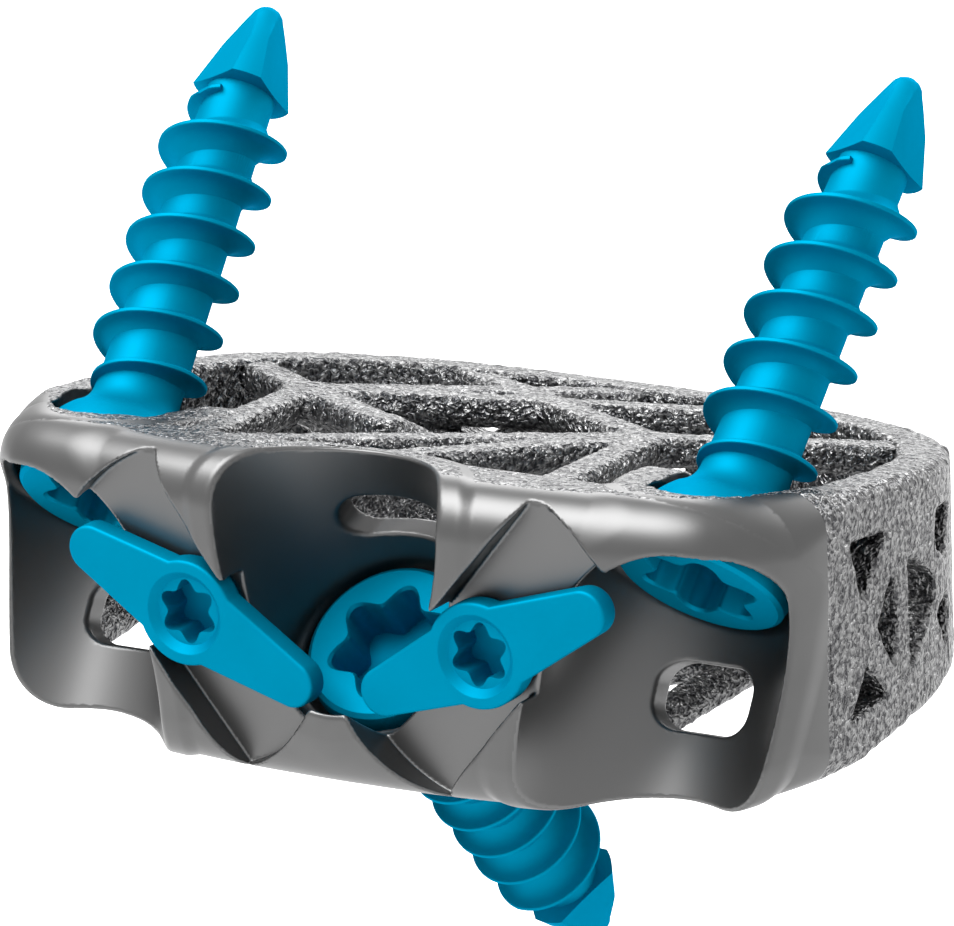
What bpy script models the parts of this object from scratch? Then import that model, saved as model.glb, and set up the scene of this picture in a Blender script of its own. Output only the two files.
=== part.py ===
"""Anterior spinal interbody cage: a printed titanium body with a lattice core, three bone screws
and two rotary locks that turn over the screw heads.

X runs across the patient, Y from the front (anterior) face to the back, Z up. The origin is the
middle of the cage body. Inside the model every place is first measured from the front plane of
the locks, on the middle plane, and one empty then carries all of it back by half the depth.
"""
import math

import bmesh
import bpy
from mathutils import Matrix, Vector

MM = 0.001

# Footprint of the cage body, seen from above
CAGE_WIDTH = 35.9 * MM
FRONT_Y = -0.3 * MM
WAIST_Y = 11.5 * MM
BACK_Y = 24.3 * MM
FRONT_SQUARENESS = 3.8
BACK_SQUARENESS = 2.95
FRONT_BOW_RADIUS = 60.0 * MM
OUTLINE_STEPS = 60

# Wedge: the end faces close towards the back, which sets the lordosis
FRONT_HALF_HEIGHT = 6.5 * MM
LORDOSIS_HALF = math.atan(0.12)
BULLNOSE_RADIUS = 2.2 * MM
BULLNOSE_STEPS = 5
FRONT_SLICES = 27
EDGE_RADIUS = 0.55 * MM
EDGE_STEPS = 2

# Walls
RIM_WIDTH = 1.9 * MM
FRONT_WALL = 4.6 * MM
SHELL_WALL = 1.1 * MM

# Running and seating clearances
SEAT_GAP = 0.3 * MM
SHAFT_GAP = 0.08 * MM
RING_GAP = 0.1 * MM

# Bone screws: five millimetre cancellous thread, ball head, fluted point
SCREW_LENGTH = 22.4 * MM
THREAD_RADIUS = 2.5 * MM
THREAD_PITCH = 2.124 * MM
THREAD_START = 4.4 * MM
THREAD_END = 17.0 * MM
THREAD_PHASE = math.radians(139)
CREST_WIDTH = 0.2 * MM
CORE_RADIUS_HEAD = 1.72 * MM
CORE_RADIUS_POINT = 1.38 * MM
HEAD_BALL_RADIUS = 3.45 * MM
HEAD_BALL_CENTRE = 0.95 * MM
HEAD_RECESS_RADIUS = 2.25 * MM
HEAD_RECESS_DEPTH = 2.2 * MM
POINT_RADIUS = 0.7 * MM
POINT_SHOULDER = 17.35 * MM
POINT_SHOULDER_RADIUS = 2.32 * MM
FLUTE_COUNT = 3
FLUTE_RADIUS = 1.15 * MM
FLUTE_START = 15.9 * MM
FLUTE_END = 18.8 * MM
FLUTE_PLACE = 2.45 * MM
SCREW_STEPS = 20

# Screw places: centre of each head's open face, tilt up or down, and outward turn
LATERAL_HEAD = Vector((13.32 * MM, 4.99 * MM, 2.16 * MM))
LATERAL_TILT = math.radians(46.0)
LATERAL_TURN = math.radians(4.0)
CENTRAL_HEAD = Vector((0.0, 4.25 * MM, -1.5 * MM))
CENTRAL_TILT = math.radians(-47.0)

# Screw pockets: slightly conical, wider towards the mouth, set off axis for the driver
POCKET_BOTTOM = 0.6 * MM
POCKET_MOUTH = -14.0 * MM
POCKET_BOTTOM_RADIUS = 3.9 * MM
POCKET_FLARE = 0.134
POCKET_BOTTOM_SHIFT = 0.35 * MM
POCKET_SHIFT_SLOPE = 0.085
POCKET_STEPS = 36
SEAT_BOSS_RADIUS = 4.55 * MM
SEAT_BOSS_END = 4.9 * MM
SCREW_BORE_RADIUS = THREAD_RADIUS + SEAT_GAP

# Rotary locks: one long and one short lobe on a hub with a driver recess
LOCK_SPACING = 12.9 * MM
LOCK_THICKNESS = 1.0 * MM
LOCK_HUB_RADIUS = 2.1 * MM
LOCK_ROOT_RADIUS = 1.75 * MM
LOCK_TIP_RADIUS = 0.95 * MM
LOCK_LONG_REACH = 5.15 * MM
LOCK_SHORT_REACH = 4.65 * MM
LOCKED_ANGLE = math.radians(25.5)
UNLOCK_TRAVEL = math.radians(38.0)
TIP_STEPS = 6
HUB_STEPS = 5
SWEEP_STEPS = 9
LOCK_CLEARANCE = 0.25 * MM
LOCK_BOSS_RADIUS = 1.75 * MM
LOCK_BOSS_LENGTH = 1.2 * MM
LOCK_SHAFT_RADIUS = 1.0 * MM
LOCK_COUNTERSINK_RADIUS = 1.64 * MM
LOCK_COUNTERSINK_DEPTH = 0.3 * MM
LOCK_RECESS_RADIUS = 1.28 * MM
LOCK_RECESS_DEPTH = 1.7 * MM
PIVOT_POST_RADIUS = 2.75 * MM
PIVOT_POST_END = 5.4 * MM
RING_RADIUS = 1.65 * MM
RING_THICKNESS = 0.8 * MM
SHAFT_TAIL = 0.3 * MM
ROUND_STEPS = 28

# Windows through the pocket walls
LATERAL_WINDOW = Vector((13.0 * MM, 6.1 * MM, -2.6 * MM))
LATERAL_WINDOW_SIZE = (4.1 * MM, 1.8 * MM)
CENTRAL_WINDOW = Vector((0.0, 5.2 * MM, 3.2 * MM))
CENTRAL_WINDOW_SIZE = (5.1 * MM, 1.5 * MM)
WINDOW_CORNER = 0.8 * MM

# Windows in the side walls, as (y, z) outlines in millimetres, the same on both sides
SIDE_WINDOWS = (
    ((8.45, 3.4), (10.8, 3.1), (9.25, 1.3)),
    ((10.5, -0.4), (11.75, 1.5), (12.05, -0.3), (11.65, -2.1)),
    ((9.55, -1.75), (8.3, -3.3), (10.7, -3.1)),
    ((13.0, 1.75), (15.3, 0.4), (15.3, -0.6), (13.1, -2.7)),
    ((15.8, 2.8), (17.3, 2.6), (16.6, 0.7), (15.6, 1.4)),
    ((15.6, -1.3), (16.9, -0.8), (16.7, -2.9)),
)

# Crossing bars in the back wall
TRUSS_CELLS = 5
TRUSS_START_Y = 18.6 * MM
TRUSS_BAR = 1.15 * MM
TRUSS_CAP = 1.9 * MM

# Lattice in the graft chamber, as plan places measured from the front plane of the locks
STRUT_RADIUS = 0.85 * MM
STRUT_DEPTH = 0.62 * MM
STRUT_SIDES = 8
STRUT_OVERRUN = 0.06 * MM
KNOB_RADIUS = 1.15 * MM
KNOB_NODES = ("apex_left", "apex_right")
LATTICE_NODES = {
    "apex_left": (-10.2, 15.3),
    "apex_right": (5.8, 14.6),
    "front_left": (-8.2, 3.2),
    "front_right": (7.6, 3.0),
    "front_mid": (-0.4, 4.9),
    "back_left": (-8.0, 23.2),
    "back_right": (8.4, 22.4),
    "back_mid": (1.5, 23.4),
    "corner_left": (-15.6, 19.4),
    "corner_right": (15.4, 19.6),
    "cross_mid": (-4.3, 11.4),
    "side_left": (-16.6, 12.0),
    "side_right": (16.6, 12.0),
}
LATTICE_FLAT = (
    ("front_left", "apex_left"),
    ("front_left", "apex_right"),
    ("apex_left", "cross_mid"),
    ("apex_left", "corner_left"),
    ("apex_left", "back_right"),
    ("apex_left", "back_mid"),
    ("apex_right", "back_left"),
    ("apex_right", "corner_right"),
    ("apex_right", "front_right"),
    ("apex_right", "front_mid"),
)
LATTICE_RISING = (
    ("apex_left", "side_left"),
    ("apex_left", "back_left"),
    ("apex_left", "cross_mid"),
    ("apex_right", "side_right"),
    ("apex_right", "back_right"),
    ("apex_right", "corner_right"),
    ("cross_mid", "back_mid"),
)

BODY_MID_Y = (FRONT_Y + BACK_Y) / 2
CUT_MARGIN = 2.0 * MM


def clear_scene():
    for obj in list(bpy.data.objects):
        bpy.data.objects.remove(obj, do_unlink=True)


def new_collection(name):
    collection = bpy.data.collections.new(name)
    bpy.context.scene.collection.children.link(collection)
    return collection


def make_material(name, colour, roughness, metallic):
    material = bpy.data.materials.new(name)
    material.use_nodes = True
    shader = material.node_tree.nodes["Principled BSDF"]
    shader.inputs["Base Color"].default_value = (*colour, 1.0)
    shader.inputs["Roughness"].default_value = roughness
    shader.inputs["Metallic"].default_value = metallic
    return material


def add_object(name, mesh, collection, parent, material=None):
    obj = bpy.data.objects.new(name, mesh)
    collection.objects.link(obj)
    obj.parent = parent
    if material:
        mesh.materials.append(material)
    return obj


def mesh_from(name, bm):
    bmesh.ops.recalc_face_normals(bm, faces=bm.faces)
    mesh = bpy.data.meshes.new(name)
    bm.to_mesh(mesh)
    bm.free()
    return mesh


def add_boolean(obj, cutter, operation, self_overlap=False):
    modifier = obj.modifiers.new(f"{operation.lower()} {cutter.name}", "BOOLEAN")
    modifier.operation = operation
    modifier.solver = "EXACT"
    modifier.object = cutter
    modifier.use_self = self_overlap


class Workshop:
    """Holds the two collections and the frame that the pieces and cutters are parented to."""

    def __init__(self):
        self.parts = new_collection("spinal_interbody_cage")
        self.cutters = new_collection("cutters")
        self.frame = bpy.data.objects.new("lock_plane", None)
        self.frame.location = (0.0, -BODY_MID_Y, 0.0)
        self.parts.objects.link(self.frame)

    def part(self, name, mesh, material):
        return add_object(name, mesh, self.parts, self.frame, material)

    def cutter(self, name, mesh):
        obj = add_object(name, mesh, self.cutters, self.frame)
        obj.hide_render = True
        obj.display_type = "WIRE"
        return obj


def circle_points(radius, steps, centre=(0.0, 0.0)):
    return [
        (
            centre[0] + radius * math.cos(math.tau * i / steps),
            centre[1] + radius * math.sin(math.tau * i / steps),
        )
        for i in range(steps)
    ]


def lobed_points(radius, lobes=6, steps=36, depth=0.17):
    """Six-lobed driver outline: a circle whose radius swells and shrinks."""
    points = []
    for i in range(steps):
        angle = math.tau * i / steps
        reach = radius * (1.0 - depth + depth * math.cos(lobes * angle))
        points.append((reach * math.cos(angle), reach * math.sin(angle)))
    return points


def prism_mesh(name, outline, low, high):
    """Closed prism on an outline in the XY plane, from low to high along Z."""
    bm = bmesh.new()
    base = [bm.verts.new((x, y, low)) for x, y in outline]
    face = bm.faces.new(base)
    grown = bmesh.ops.extrude_face_region(bm, geom=[face])
    moved = [v for v in grown["geom"] if isinstance(v, bmesh.types.BMVert)]
    bmesh.ops.translate(bm, verts=moved, vec=(0.0, 0.0, high - low))
    return mesh_from(name, bm)


def two_lobe_outline(hub, root, tip, reaches):
    """Outline of two opposite tapered lobes on a round hub, the first along +X."""
    points = []
    join = math.acos(root / hub)
    halves = [math.pi / 2 - math.asin((root - tip) / reach) for reach in reaches]
    for i, reach in enumerate(reaches):
        base, half = math.pi * i, halves[i]
        for j in range(2 * TIP_STEPS + 1):
            angle = base - half + half * j / TIP_STEPS
            points.append(
                (
                    reach * math.cos(base) + tip * math.cos(angle),
                    reach * math.sin(base) + tip * math.sin(angle),
                )
            )
        low = base + half - join
        high = base + math.pi - halves[1 - i] + join
        for j in range(HUB_STEPS + 1):
            angle = low + (high - low) * j / HUB_STEPS
            points.append((hub * math.cos(angle), hub * math.sin(angle)))
    return points


def joined_mesh(name, meshes):
    """One mesh from several that don't touch."""
    bm = bmesh.new()
    for mesh in meshes:
        bm.from_mesh(mesh)
    return mesh_from(name, bm)


def cone_mesh(name, radius_low, radius_high, low, high, steps):
    """Closed cone or cylinder along Z, with a flat, not a corner, on each axis."""
    bm = bmesh.new()
    place = Matrix.Translation((0.0, 0.0, (low + high) / 2)) @ Matrix.Rotation(math.pi / steps, 4, "Z")
    bmesh.ops.create_cone(
        bm,
        cap_ends=True,
        segments=steps,
        radius1=radius_low,
        radius2=radius_high,
        depth=high - low,
        matrix=place,
    )
    return mesh_from(name, bm)


def turned_object(workshop, name, profile, steps, material=None, closed=False):
    """Turned piece about its own Z axis; the profile runs from the top down its outer side."""
    mesh = bpy.data.meshes.new(name)
    edges = [(i, i + 1) for i in range(len(profile) - 1)]
    if closed:
        edges.append((len(profile) - 1, 0))
    mesh.from_pydata([(r, 0.0, z) for r, z in profile], edges, [])
    obj = workshop.part(name, mesh, material) if material else workshop.cutter(name, mesh)
    turn = obj.modifiers.new("turn", "SCREW")
    turn.axis = "Z"
    turn.steps = steps
    turn.render_steps = steps
    turn.use_merge_vertices = True
    turn.merge_threshold = MM / 1000
    turn.use_smooth_shade = True
    return obj


def lay_along(direction):
    """Rotation that turns local +Z to the direction and keeps local X level."""
    z = direction.normalized()
    x = Vector((0.0, 0.0, 1.0)).cross(z)
    x = -x.normalized() if x.length > 0 else Vector((1.0, 0.0, 0.0))
    return Matrix((x, z.cross(x), z)).transposed().to_4x4()


def front_y(x):
    """Front face, bowed forward about the middle plane."""
    return FRONT_Y + FRONT_BOW_RADIUS - math.sqrt(FRONT_BOW_RADIUS**2 - x**2)


def half_height(y):
    return FRONT_HALF_HEIGHT - y * math.tan(LORDOSIS_HALF)


def footprint(inset=0.0):
    """Superellipse with a squarer front half, drawn inwards by inset."""
    points = []
    for i in range(OUTLINE_STEPS):
        angle = math.tau * (i + 0.5) / OUTLINE_STEPS
        back = math.sin(angle) >= 0
        power = BACK_SQUARENESS if back else FRONT_SQUARENESS
        depth = (BACK_Y - WAIST_Y if back else WAIST_Y - FRONT_Y) - inset
        reach = CAGE_WIDTH / 2 - inset
        cos, sin = math.cos(angle), math.sin(angle)
        x = reach * math.copysign(abs(cos) ** (2 / power), cos)
        y = WAIST_Y + depth * math.copysign(abs(sin) ** (2 / power), sin)
        points.append((x, y))
    return points


def front_slice(x):
    """Section of the wedge at one X, as (y, z): back, down the bullnosed front, and back again."""
    nose = front_y(x)
    centre_y = nose + BULLNOSE_RADIUS
    drop = BULLNOSE_RADIUS / math.cos(LORDOSIS_HALF)
    centre_z = half_height(centre_y) - drop
    deep = BACK_Y + CUT_MARGIN
    upper = [(deep, half_height(deep))]
    turn = math.pi / 2 - LORDOSIS_HALF
    for i in range(BULLNOSE_STEPS + 1):
        angle = math.pi / 2 - LORDOSIS_HALF + (math.pi - turn) * i / BULLNOSE_STEPS
        y = centre_y + BULLNOSE_RADIUS * math.cos(angle)
        upper.append((y, centre_z + BULLNOSE_RADIUS * math.sin(angle)))
    return upper + [(y, -z) for y, z in reversed(upper)]


def wedge_mesh():
    """Wedge with bullnosed front edges, lofted through slices along X."""
    bm = bmesh.new()
    reach = CAGE_WIDTH / 2 + CUT_MARGIN
    rings = []
    for i in range(FRONT_SLICES + 1):
        x = -reach + 2 * reach * i / FRONT_SLICES
        rings.append([bm.verts.new((x, y, z)) for y, z in front_slice(x)])
    for ring, after in zip(rings, rings[1:]):
        count = len(ring)
        for j in range(count):
            k = (j + 1) % count
            bm.faces.new((ring[j], after[j], after[k], ring[k]))
    bm.faces.new(rings[0])
    bm.faces.new(rings[-1])
    return mesh_from("wedge", bm)


def rounded_slab_mesh():
    """Footprint between the end faces, its edges rounded; it runs on inwards past the faces."""
    levels = [(EDGE_RADIUS * 2.4, -EDGE_RADIUS * 0.5)]
    for i in range(EDGE_STEPS + 1):
        angle = math.radians(66) * (1 - i / EDGE_STEPS)
        levels.append((EDGE_RADIUS * (1 - math.cos(angle)), EDGE_RADIUS * (1 - math.sin(angle))))
    bm = bmesh.new()
    rings = []
    for sign in (1, -1):
        for inset, drop in levels if sign > 0 else reversed(levels):
            outline = footprint(inset)
            rings.append([bm.verts.new((x, y, sign * (half_height(y) - drop))) for x, y in outline])
    for ring, after in zip(rings, rings[1:]):
        for j in range(len(ring)):
            k = (j + 1) % len(ring)
            bm.faces.new((ring[j], after[j], after[k], ring[k]))
    bm.faces.new(rings[0])
    bm.faces.new(rings[-1])
    return mesh_from("rounded_slab", bm)


def screw_axes():
    """Head place and pointing direction of each screw."""
    level = math.cos(LATERAL_TILT)
    right = Vector(
        (
            math.sin(LATERAL_TURN) * level,
            math.cos(LATERAL_TURN) * level,
            math.sin(LATERAL_TILT),
        )
    )
    left = Vector((-right.x, right.y, right.z))
    left_head = Vector((-LATERAL_HEAD.x, LATERAL_HEAD.y, LATERAL_HEAD.z))
    centre = Vector((0.0, math.cos(CENTRAL_TILT), math.sin(CENTRAL_TILT)))
    return {
        "left": (left_head, left),
        "right": (LATERAL_HEAD, right),
        "center": (CENTRAL_HEAD, centre),
    }


def place_on_axis(obj, head, direction, spin=0.0):
    obj.matrix_local = Matrix.Translation(head) @ lay_along(direction) @ Matrix.Rotation(spin, 4, "Z")


def head_profile(grow=0.0, steps=7):
    """Outer side of the ball head from its open face to where it meets the core, as (r, z)."""
    radius = HEAD_BALL_RADIUS + grow
    start = math.acos(HEAD_BALL_CENTRE / radius)
    end = math.asin((CORE_RADIUS_HEAD + grow) / radius)
    points = []
    for i in range(steps + 1):
        angle = (math.pi - start) + (end - (math.pi - start)) * i / steps
        points.append((radius * math.sin(angle), HEAD_BALL_CENTRE + radius * math.cos(angle)))
    return points


def screw_blank(workshop, name, material):
    """Head, core and point as one turned piece, before the thread, flutes and recess."""
    outer = head_profile()
    shoulder = POINT_SHOULDER - 0.5 * MM
    outer += [
        (CORE_RADIUS_POINT, shoulder),
        (POINT_SHOULDER_RADIUS, POINT_SHOULDER),
    ]
    nose = SCREW_LENGTH - POINT_RADIUS
    for degrees in (15, 45, 70):
        angle = math.radians(degrees)
        outer.append((POINT_RADIUS * math.cos(angle), nose + POINT_RADIUS * math.sin(angle)))
    profile = [(0.0, SCREW_LENGTH)] + list(reversed(outer)) + [(0.0, 0.0)]
    return turned_object(workshop, name, profile, SCREW_STEPS, material)


def thread_mesh(name):
    """Helical ridge with a thin crest and hollow flanks, run along the core."""
    root_half = THREAD_PITCH * 0.42
    turns = (THREAD_END - THREAD_START) / THREAD_PITCH
    count = round(turns * SCREW_STEPS)
    bm = bmesh.new()
    rings = []
    for i in range(count + 1):
        part = i / count
        z = THREAD_START + (THREAD_END - THREAD_START) * part
        core = CORE_RADIUS_HEAD + (CORE_RADIUS_POINT - CORE_RADIUS_HEAD) * part
        fade = min(1.0, i / (SCREW_STEPS * 0.5), (count - i) / (SCREW_STEPS * 0.35) + 0.25)
        crest = core + (THREAD_RADIUS - core) * fade
        inner = core * 0.8
        section = (
            (inner, -root_half),
            (core + (crest - core) * 0.3, -root_half * 0.42),
            (crest, -CREST_WIDTH / 2),
            (crest, CREST_WIDTH / 2),
            (core + (crest - core) * 0.3, root_half * 0.42),
            (inner, root_half),
        )
        angle = THREAD_PHASE + math.tau * turns * part
        cos, sin = math.cos(angle), math.sin(angle)
        rings.append([bm.verts.new((r * cos, r * sin, z + dz)) for r, dz in section])
    for ring, after in zip(rings, rings[1:]):
        for j in range(len(ring)):
            k = (j + 1) % len(ring)
            bm.faces.new((ring[j], after[j], after[k], ring[k]))
    bm.faces.new(rings[0])
    bm.faces.new(rings[-1])
    return mesh_from(name, bm)


def flute_mesh(name):
    """Cutting flutes: round grooves along the screw, through the last thread and the shoulder."""
    bm = bmesh.new()
    for i in range(FLUTE_COUNT):
        turn = Matrix.Rotation(math.tau * (i + 0.4) / FLUTE_COUNT, 4, "Z")
        place = Matrix.Translation((FLUTE_PLACE, 0.0, (FLUTE_START + FLUTE_END) / 2))
        bmesh.ops.create_cone(
            bm,
            cap_ends=True,
            segments=14,
            radius1=FLUTE_RADIUS,
            radius2=FLUTE_RADIUS,
            depth=FLUTE_END - FLUTE_START,
            matrix=turn @ place,
        )
    return mesh_from(name, bm)


def make_screws(workshop, material):
    low = -CUT_MARGIN
    recess = prism_mesh("head_recess", lobed_points(HEAD_RECESS_RADIUS), low, HEAD_RECESS_DEPTH)
    thread = thread_mesh("thread_ridge")
    flutes = flute_mesh("point_flutes")
    for side, (head, direction) in screw_axes().items():
        screw = screw_blank(workshop, f"screw_{side}", material)
        place_on_axis(screw, head, direction)
        for label, mesh, operation in (
            ("thread", thread, "UNION"),
            ("flutes", flutes, "DIFFERENCE"),
            ("recess", recess, "DIFFERENCE"),
        ):
            tool = workshop.cutter(f"{label}_{side}", mesh)
            place_on_axis(tool, head, direction)
            add_boolean(screw, tool, operation)


def along_y(mesh):
    """Turns a mesh drawn along Z so that it runs along +Y, with its own Y along +Z."""
    mesh.transform(Matrix.Rotation(math.radians(-90), 4, "X") @ Matrix.Diagonal((1, -1, 1, 1)))
    mesh.flip_normals()
    return mesh


def lock_meshes():
    """The lock's own solids and cutters about its shaft, long lobe along +X, front at Y = 0."""
    thick = LOCK_THICKNESS
    boss_end = thick + LOCK_BOSS_LENGTH
    shaft_end = PIVOT_POST_END + SEAT_GAP + RING_THICKNESS + SHAFT_TAIL
    reaches = (LOCK_LONG_REACH, LOCK_SHORT_REACH)
    plate = two_lobe_outline(LOCK_HUB_RADIUS, LOCK_ROOT_RADIUS, LOCK_TIP_RADIUS, reaches)
    sink, depth = LOCK_COUNTERSINK_RADIUS, LOCK_COUNTERSINK_DEPTH
    boss, shaft = LOCK_BOSS_RADIUS, LOCK_SHAFT_RADIUS
    recess = lobed_points(LOCK_RECESS_RADIUS)
    return {
        "plate": along_y(prism_mesh("lock_plate", plate, 0.0, thick)),
        "boss": along_y(cone_mesh("lock_boss", boss, boss, thick / 2, boss_end, ROUND_STEPS)),
        "shaft": along_y(cone_mesh("lock_shaft", shaft, shaft, boss_end / 2, shaft_end, ROUND_STEPS)),
        "countersink": along_y(
            cone_mesh("lock_countersink", sink + depth, sink - depth, -depth, depth, ROUND_STEPS)
        ),
        "recess": along_y(prism_mesh("lock_recess", recess, -CUT_MARGIN, LOCK_RECESS_DEPTH)),
    }


def make_locks(workshop, material):
    meshes = lock_meshes()
    bore = LOCK_SHAFT_RADIUS + RING_GAP
    ring_low = PIVOT_POST_END + SEAT_GAP
    ring_high = ring_low + RING_THICKNESS
    ring_profile = [
        (RING_RADIUS, ring_high),
        (RING_RADIUS, ring_low),
        (bore, ring_low),
        (bore, ring_high),
    ]
    for side, sign in (("left", -1), ("right", 1)):
        place = Matrix.Translation((sign * LOCK_SPACING / 2, 0.0, 0.0))
        place = place @ Matrix.Rotation(-sign * LOCKED_ANGLE, 4, "Y")
        lock = workshop.part(f"lock_blade_{side}", meshes["plate"].copy(), material)
        lock.matrix_local = place
        for label in ("boss", "shaft", "countersink", "recess"):
            tool = workshop.cutter(f"lock_{label}_{side}", meshes[label])
            tool.matrix_local = place
            cuts = label in ("countersink", "recess")
            add_boolean(lock, tool, "DIFFERENCE" if cuts else "UNION")
        ring = turned_object(
            workshop, f"retaining_ring_{side}", ring_profile, ROUND_STEPS, material, closed=True
        )
        ring.matrix_local = place @ Matrix.Rotation(math.radians(-90), 4, "X")


def pocket_cone(workshop, name, head, direction, wall=0.0, bottom=POCKET_BOTTOM):
    """Conical screw pocket, or its outer shell when a wall is given."""
    near = Vector((0.0, -abs(direction.z), math.copysign(direction.y, direction.z)))
    length = bottom - POCKET_MOUTH
    start_shift = POCKET_BOTTOM_SHIFT + POCKET_SHIFT_SLOPE * (bottom - POCKET_BOTTOM)
    end_shift = POCKET_BOTTOM_SHIFT - POCKET_SHIFT_SLOPE * (POCKET_BOTTOM - POCKET_MOUTH)
    start = head + direction * bottom + near * start_shift
    end = head + direction * POCKET_MOUTH + near * end_shift
    small = POCKET_BOTTOM_RADIUS - POCKET_FLARE * (bottom - POCKET_BOTTOM) + wall
    large = small + POCKET_FLARE * length
    obj = workshop.cutter(name, cone_mesh(name, small, large, 0.0, (end - start).length, POCKET_STEPS))
    obj.matrix_local = Matrix.Translation(start) @ lay_along(end - start)
    return obj


def swept_outline(first):
    """What the lock sweeps on its way to open: two fans with straight sides and sharp corners."""
    hub = LOCK_HUB_RADIUS + LOCK_CLEARANCE
    tip = LOCK_TIP_RADIUS + LOCK_CLEARANCE
    reach = LOCK_LONG_REACH + tip
    half = math.pi / 2 - math.asin((hub - tip) / LOCK_LONG_REACH)
    corner = math.acos(hub / reach)
    points = []
    for base in (first, first + math.pi):
        low = base - half + corner
        high = base + UNLOCK_TRAVEL + half - corner
        for i in range(SWEEP_STEPS + 1):
            angle = low + (high - low) * i / SWEEP_STEPS
            points.append((reach * math.cos(angle), reach * math.sin(angle)))
        waist = base + UNLOCK_TRAVEL / 2 + math.pi / 2
        radius = hub / math.cos(half + UNLOCK_TRAVEL / 2 - math.pi / 2)
        points.append((radius * math.cos(waist), radius * math.sin(waist)))
    return points


def lock_pocket_cutters(workshop, side, sign):
    """Shallow pocket swept by the lock from locked to open, with its counterbore and bore."""
    swept = swept_outline(LOCKED_ANGLE if sign > 0 else math.pi - LOCKED_ANGLE - UNLOCK_TRAVEL)
    floor = LOCK_THICKNESS + SEAT_GAP
    boss = LOCK_BOSS_RADIUS + SHAFT_GAP
    bore = LOCK_SHAFT_RADIUS + SHAFT_GAP
    boss_floor = floor + LOCK_BOSS_LENGTH
    bore_end = PIVOT_POST_END + CUT_MARGIN
    cutters = []
    for label, mesh in (
        ("lock_sweep", prism_mesh(f"lock_sweep_{side}", swept, -CUT_MARGIN, floor)),
        ("counterbore", cone_mesh(f"counterbore_{side}", boss, boss, 0.0, boss_floor, ROUND_STEPS)),
        ("pivot_bore", cone_mesh(f"pivot_bore_{side}", bore, bore, floor / 2, bore_end, ROUND_STEPS)),
    ):
        cutter = workshop.cutter(f"{label}_{side}", along_y(mesh))
        cutter.location = (sign * LOCK_SPACING / 2, 0.0, 0.0)
        cutters.append(cutter)
    return cutters


def seat_cutter(workshop, side, head, direction):
    """Ball seat with the screw's bore running on through the body."""
    radius = HEAD_BALL_RADIUS + SEAT_GAP
    reach = math.sqrt(radius**2 - SCREW_BORE_RADIUS**2)
    far = SCREW_LENGTH
    profile = [(0.0, far), (SCREW_BORE_RADIUS, far)]
    start = math.acos(reach / radius)
    steps = 7
    for i in range(steps + 1):
        angle = start + (math.pi / 2 - start) * i / steps
        profile.append((radius * math.sin(angle), HEAD_BALL_CENTRE + radius * math.cos(angle)))
    profile += [(radius, 0.0), (0.0, 0.0)]
    cutter = turned_object(workshop, f"seat_{side}", profile, POCKET_STEPS)
    place_on_axis(cutter, head, direction, math.pi / POCKET_STEPS * 0.7)
    return cutter


def rounded_rectangle(width, height, corner, steps=4):
    points = []
    quarter = math.pi / 2
    for i, (sx, sy) in enumerate(((1, 1), (-1, 1), (-1, -1), (1, -1))):
        cx, cy = sx * (width / 2 - corner), sy * (height / 2 - corner)
        for j in range(steps + 1):
            angle = quarter * (i + j / steps)
            points.append((cx + corner * math.cos(angle), cy + corner * math.sin(angle)))
    return points


def window_cutters(workshop):
    """Rounded windows from the pockets into the lattice, cut square to the pocket walls."""
    cutters = []
    corner = min(WINDOW_CORNER, CENTRAL_WINDOW_SIZE[1] * 0.49)
    for name, place, size, tilt in (
        ("window_left", LATERAL_WINDOW, LATERAL_WINDOW_SIZE, 1),
        ("window_right", LATERAL_WINDOW, LATERAL_WINDOW_SIZE, 1),
        ("window_center", CENTRAL_WINDOW, CENTRAL_WINDOW_SIZE, -1),
    ):
        outline = rounded_rectangle(*size, corner)
        mesh = prism_mesh(name, outline, -CUT_MARGIN, CUT_MARGIN)
        cutter = workshop.cutter(name, mesh)
        spot = place.copy()
        if name == "window_left":
            spot.x = -spot.x
        tip = math.radians(90 + 20 * tilt)
        cutter.matrix_local = Matrix.Translation(spot) @ Matrix.Rotation(tip, 4, "X")
        cutters.append(cutter)
    return cutters


def side_windows(workshop):
    """Openings between the bars of the side walls, cut straight through along X."""
    low = CAGE_WIDTH / 2 - RIM_WIDTH - SEAT_GAP
    high = CAGE_WIDTH / 2 + CUT_MARGIN
    meshes = []
    for i, window in enumerate(SIDE_WINDOWS):
        outline = [(y * MM, z * MM) for y, z in window]
        for start, end in ((low, high), (-high, -low)):
            mesh = prism_mesh(f"side_window_{i}", outline, start, end)
            mesh.transform(Matrix(((0, 0, 1, 0), (1, 0, 0, 0), (0, 1, 0, 0), (0, 0, 0, 1))))
            meshes.append(mesh)
    return workshop.cutter("side_windows", joined_mesh("side_windows", meshes))


def wall_path(start_y):
    """Mid-wall points of the back wall, from one side round to the other."""
    ring = footprint(RIM_WIDTH / 2)
    return [(x, y) for x, y in ring if y >= start_y]


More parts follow.
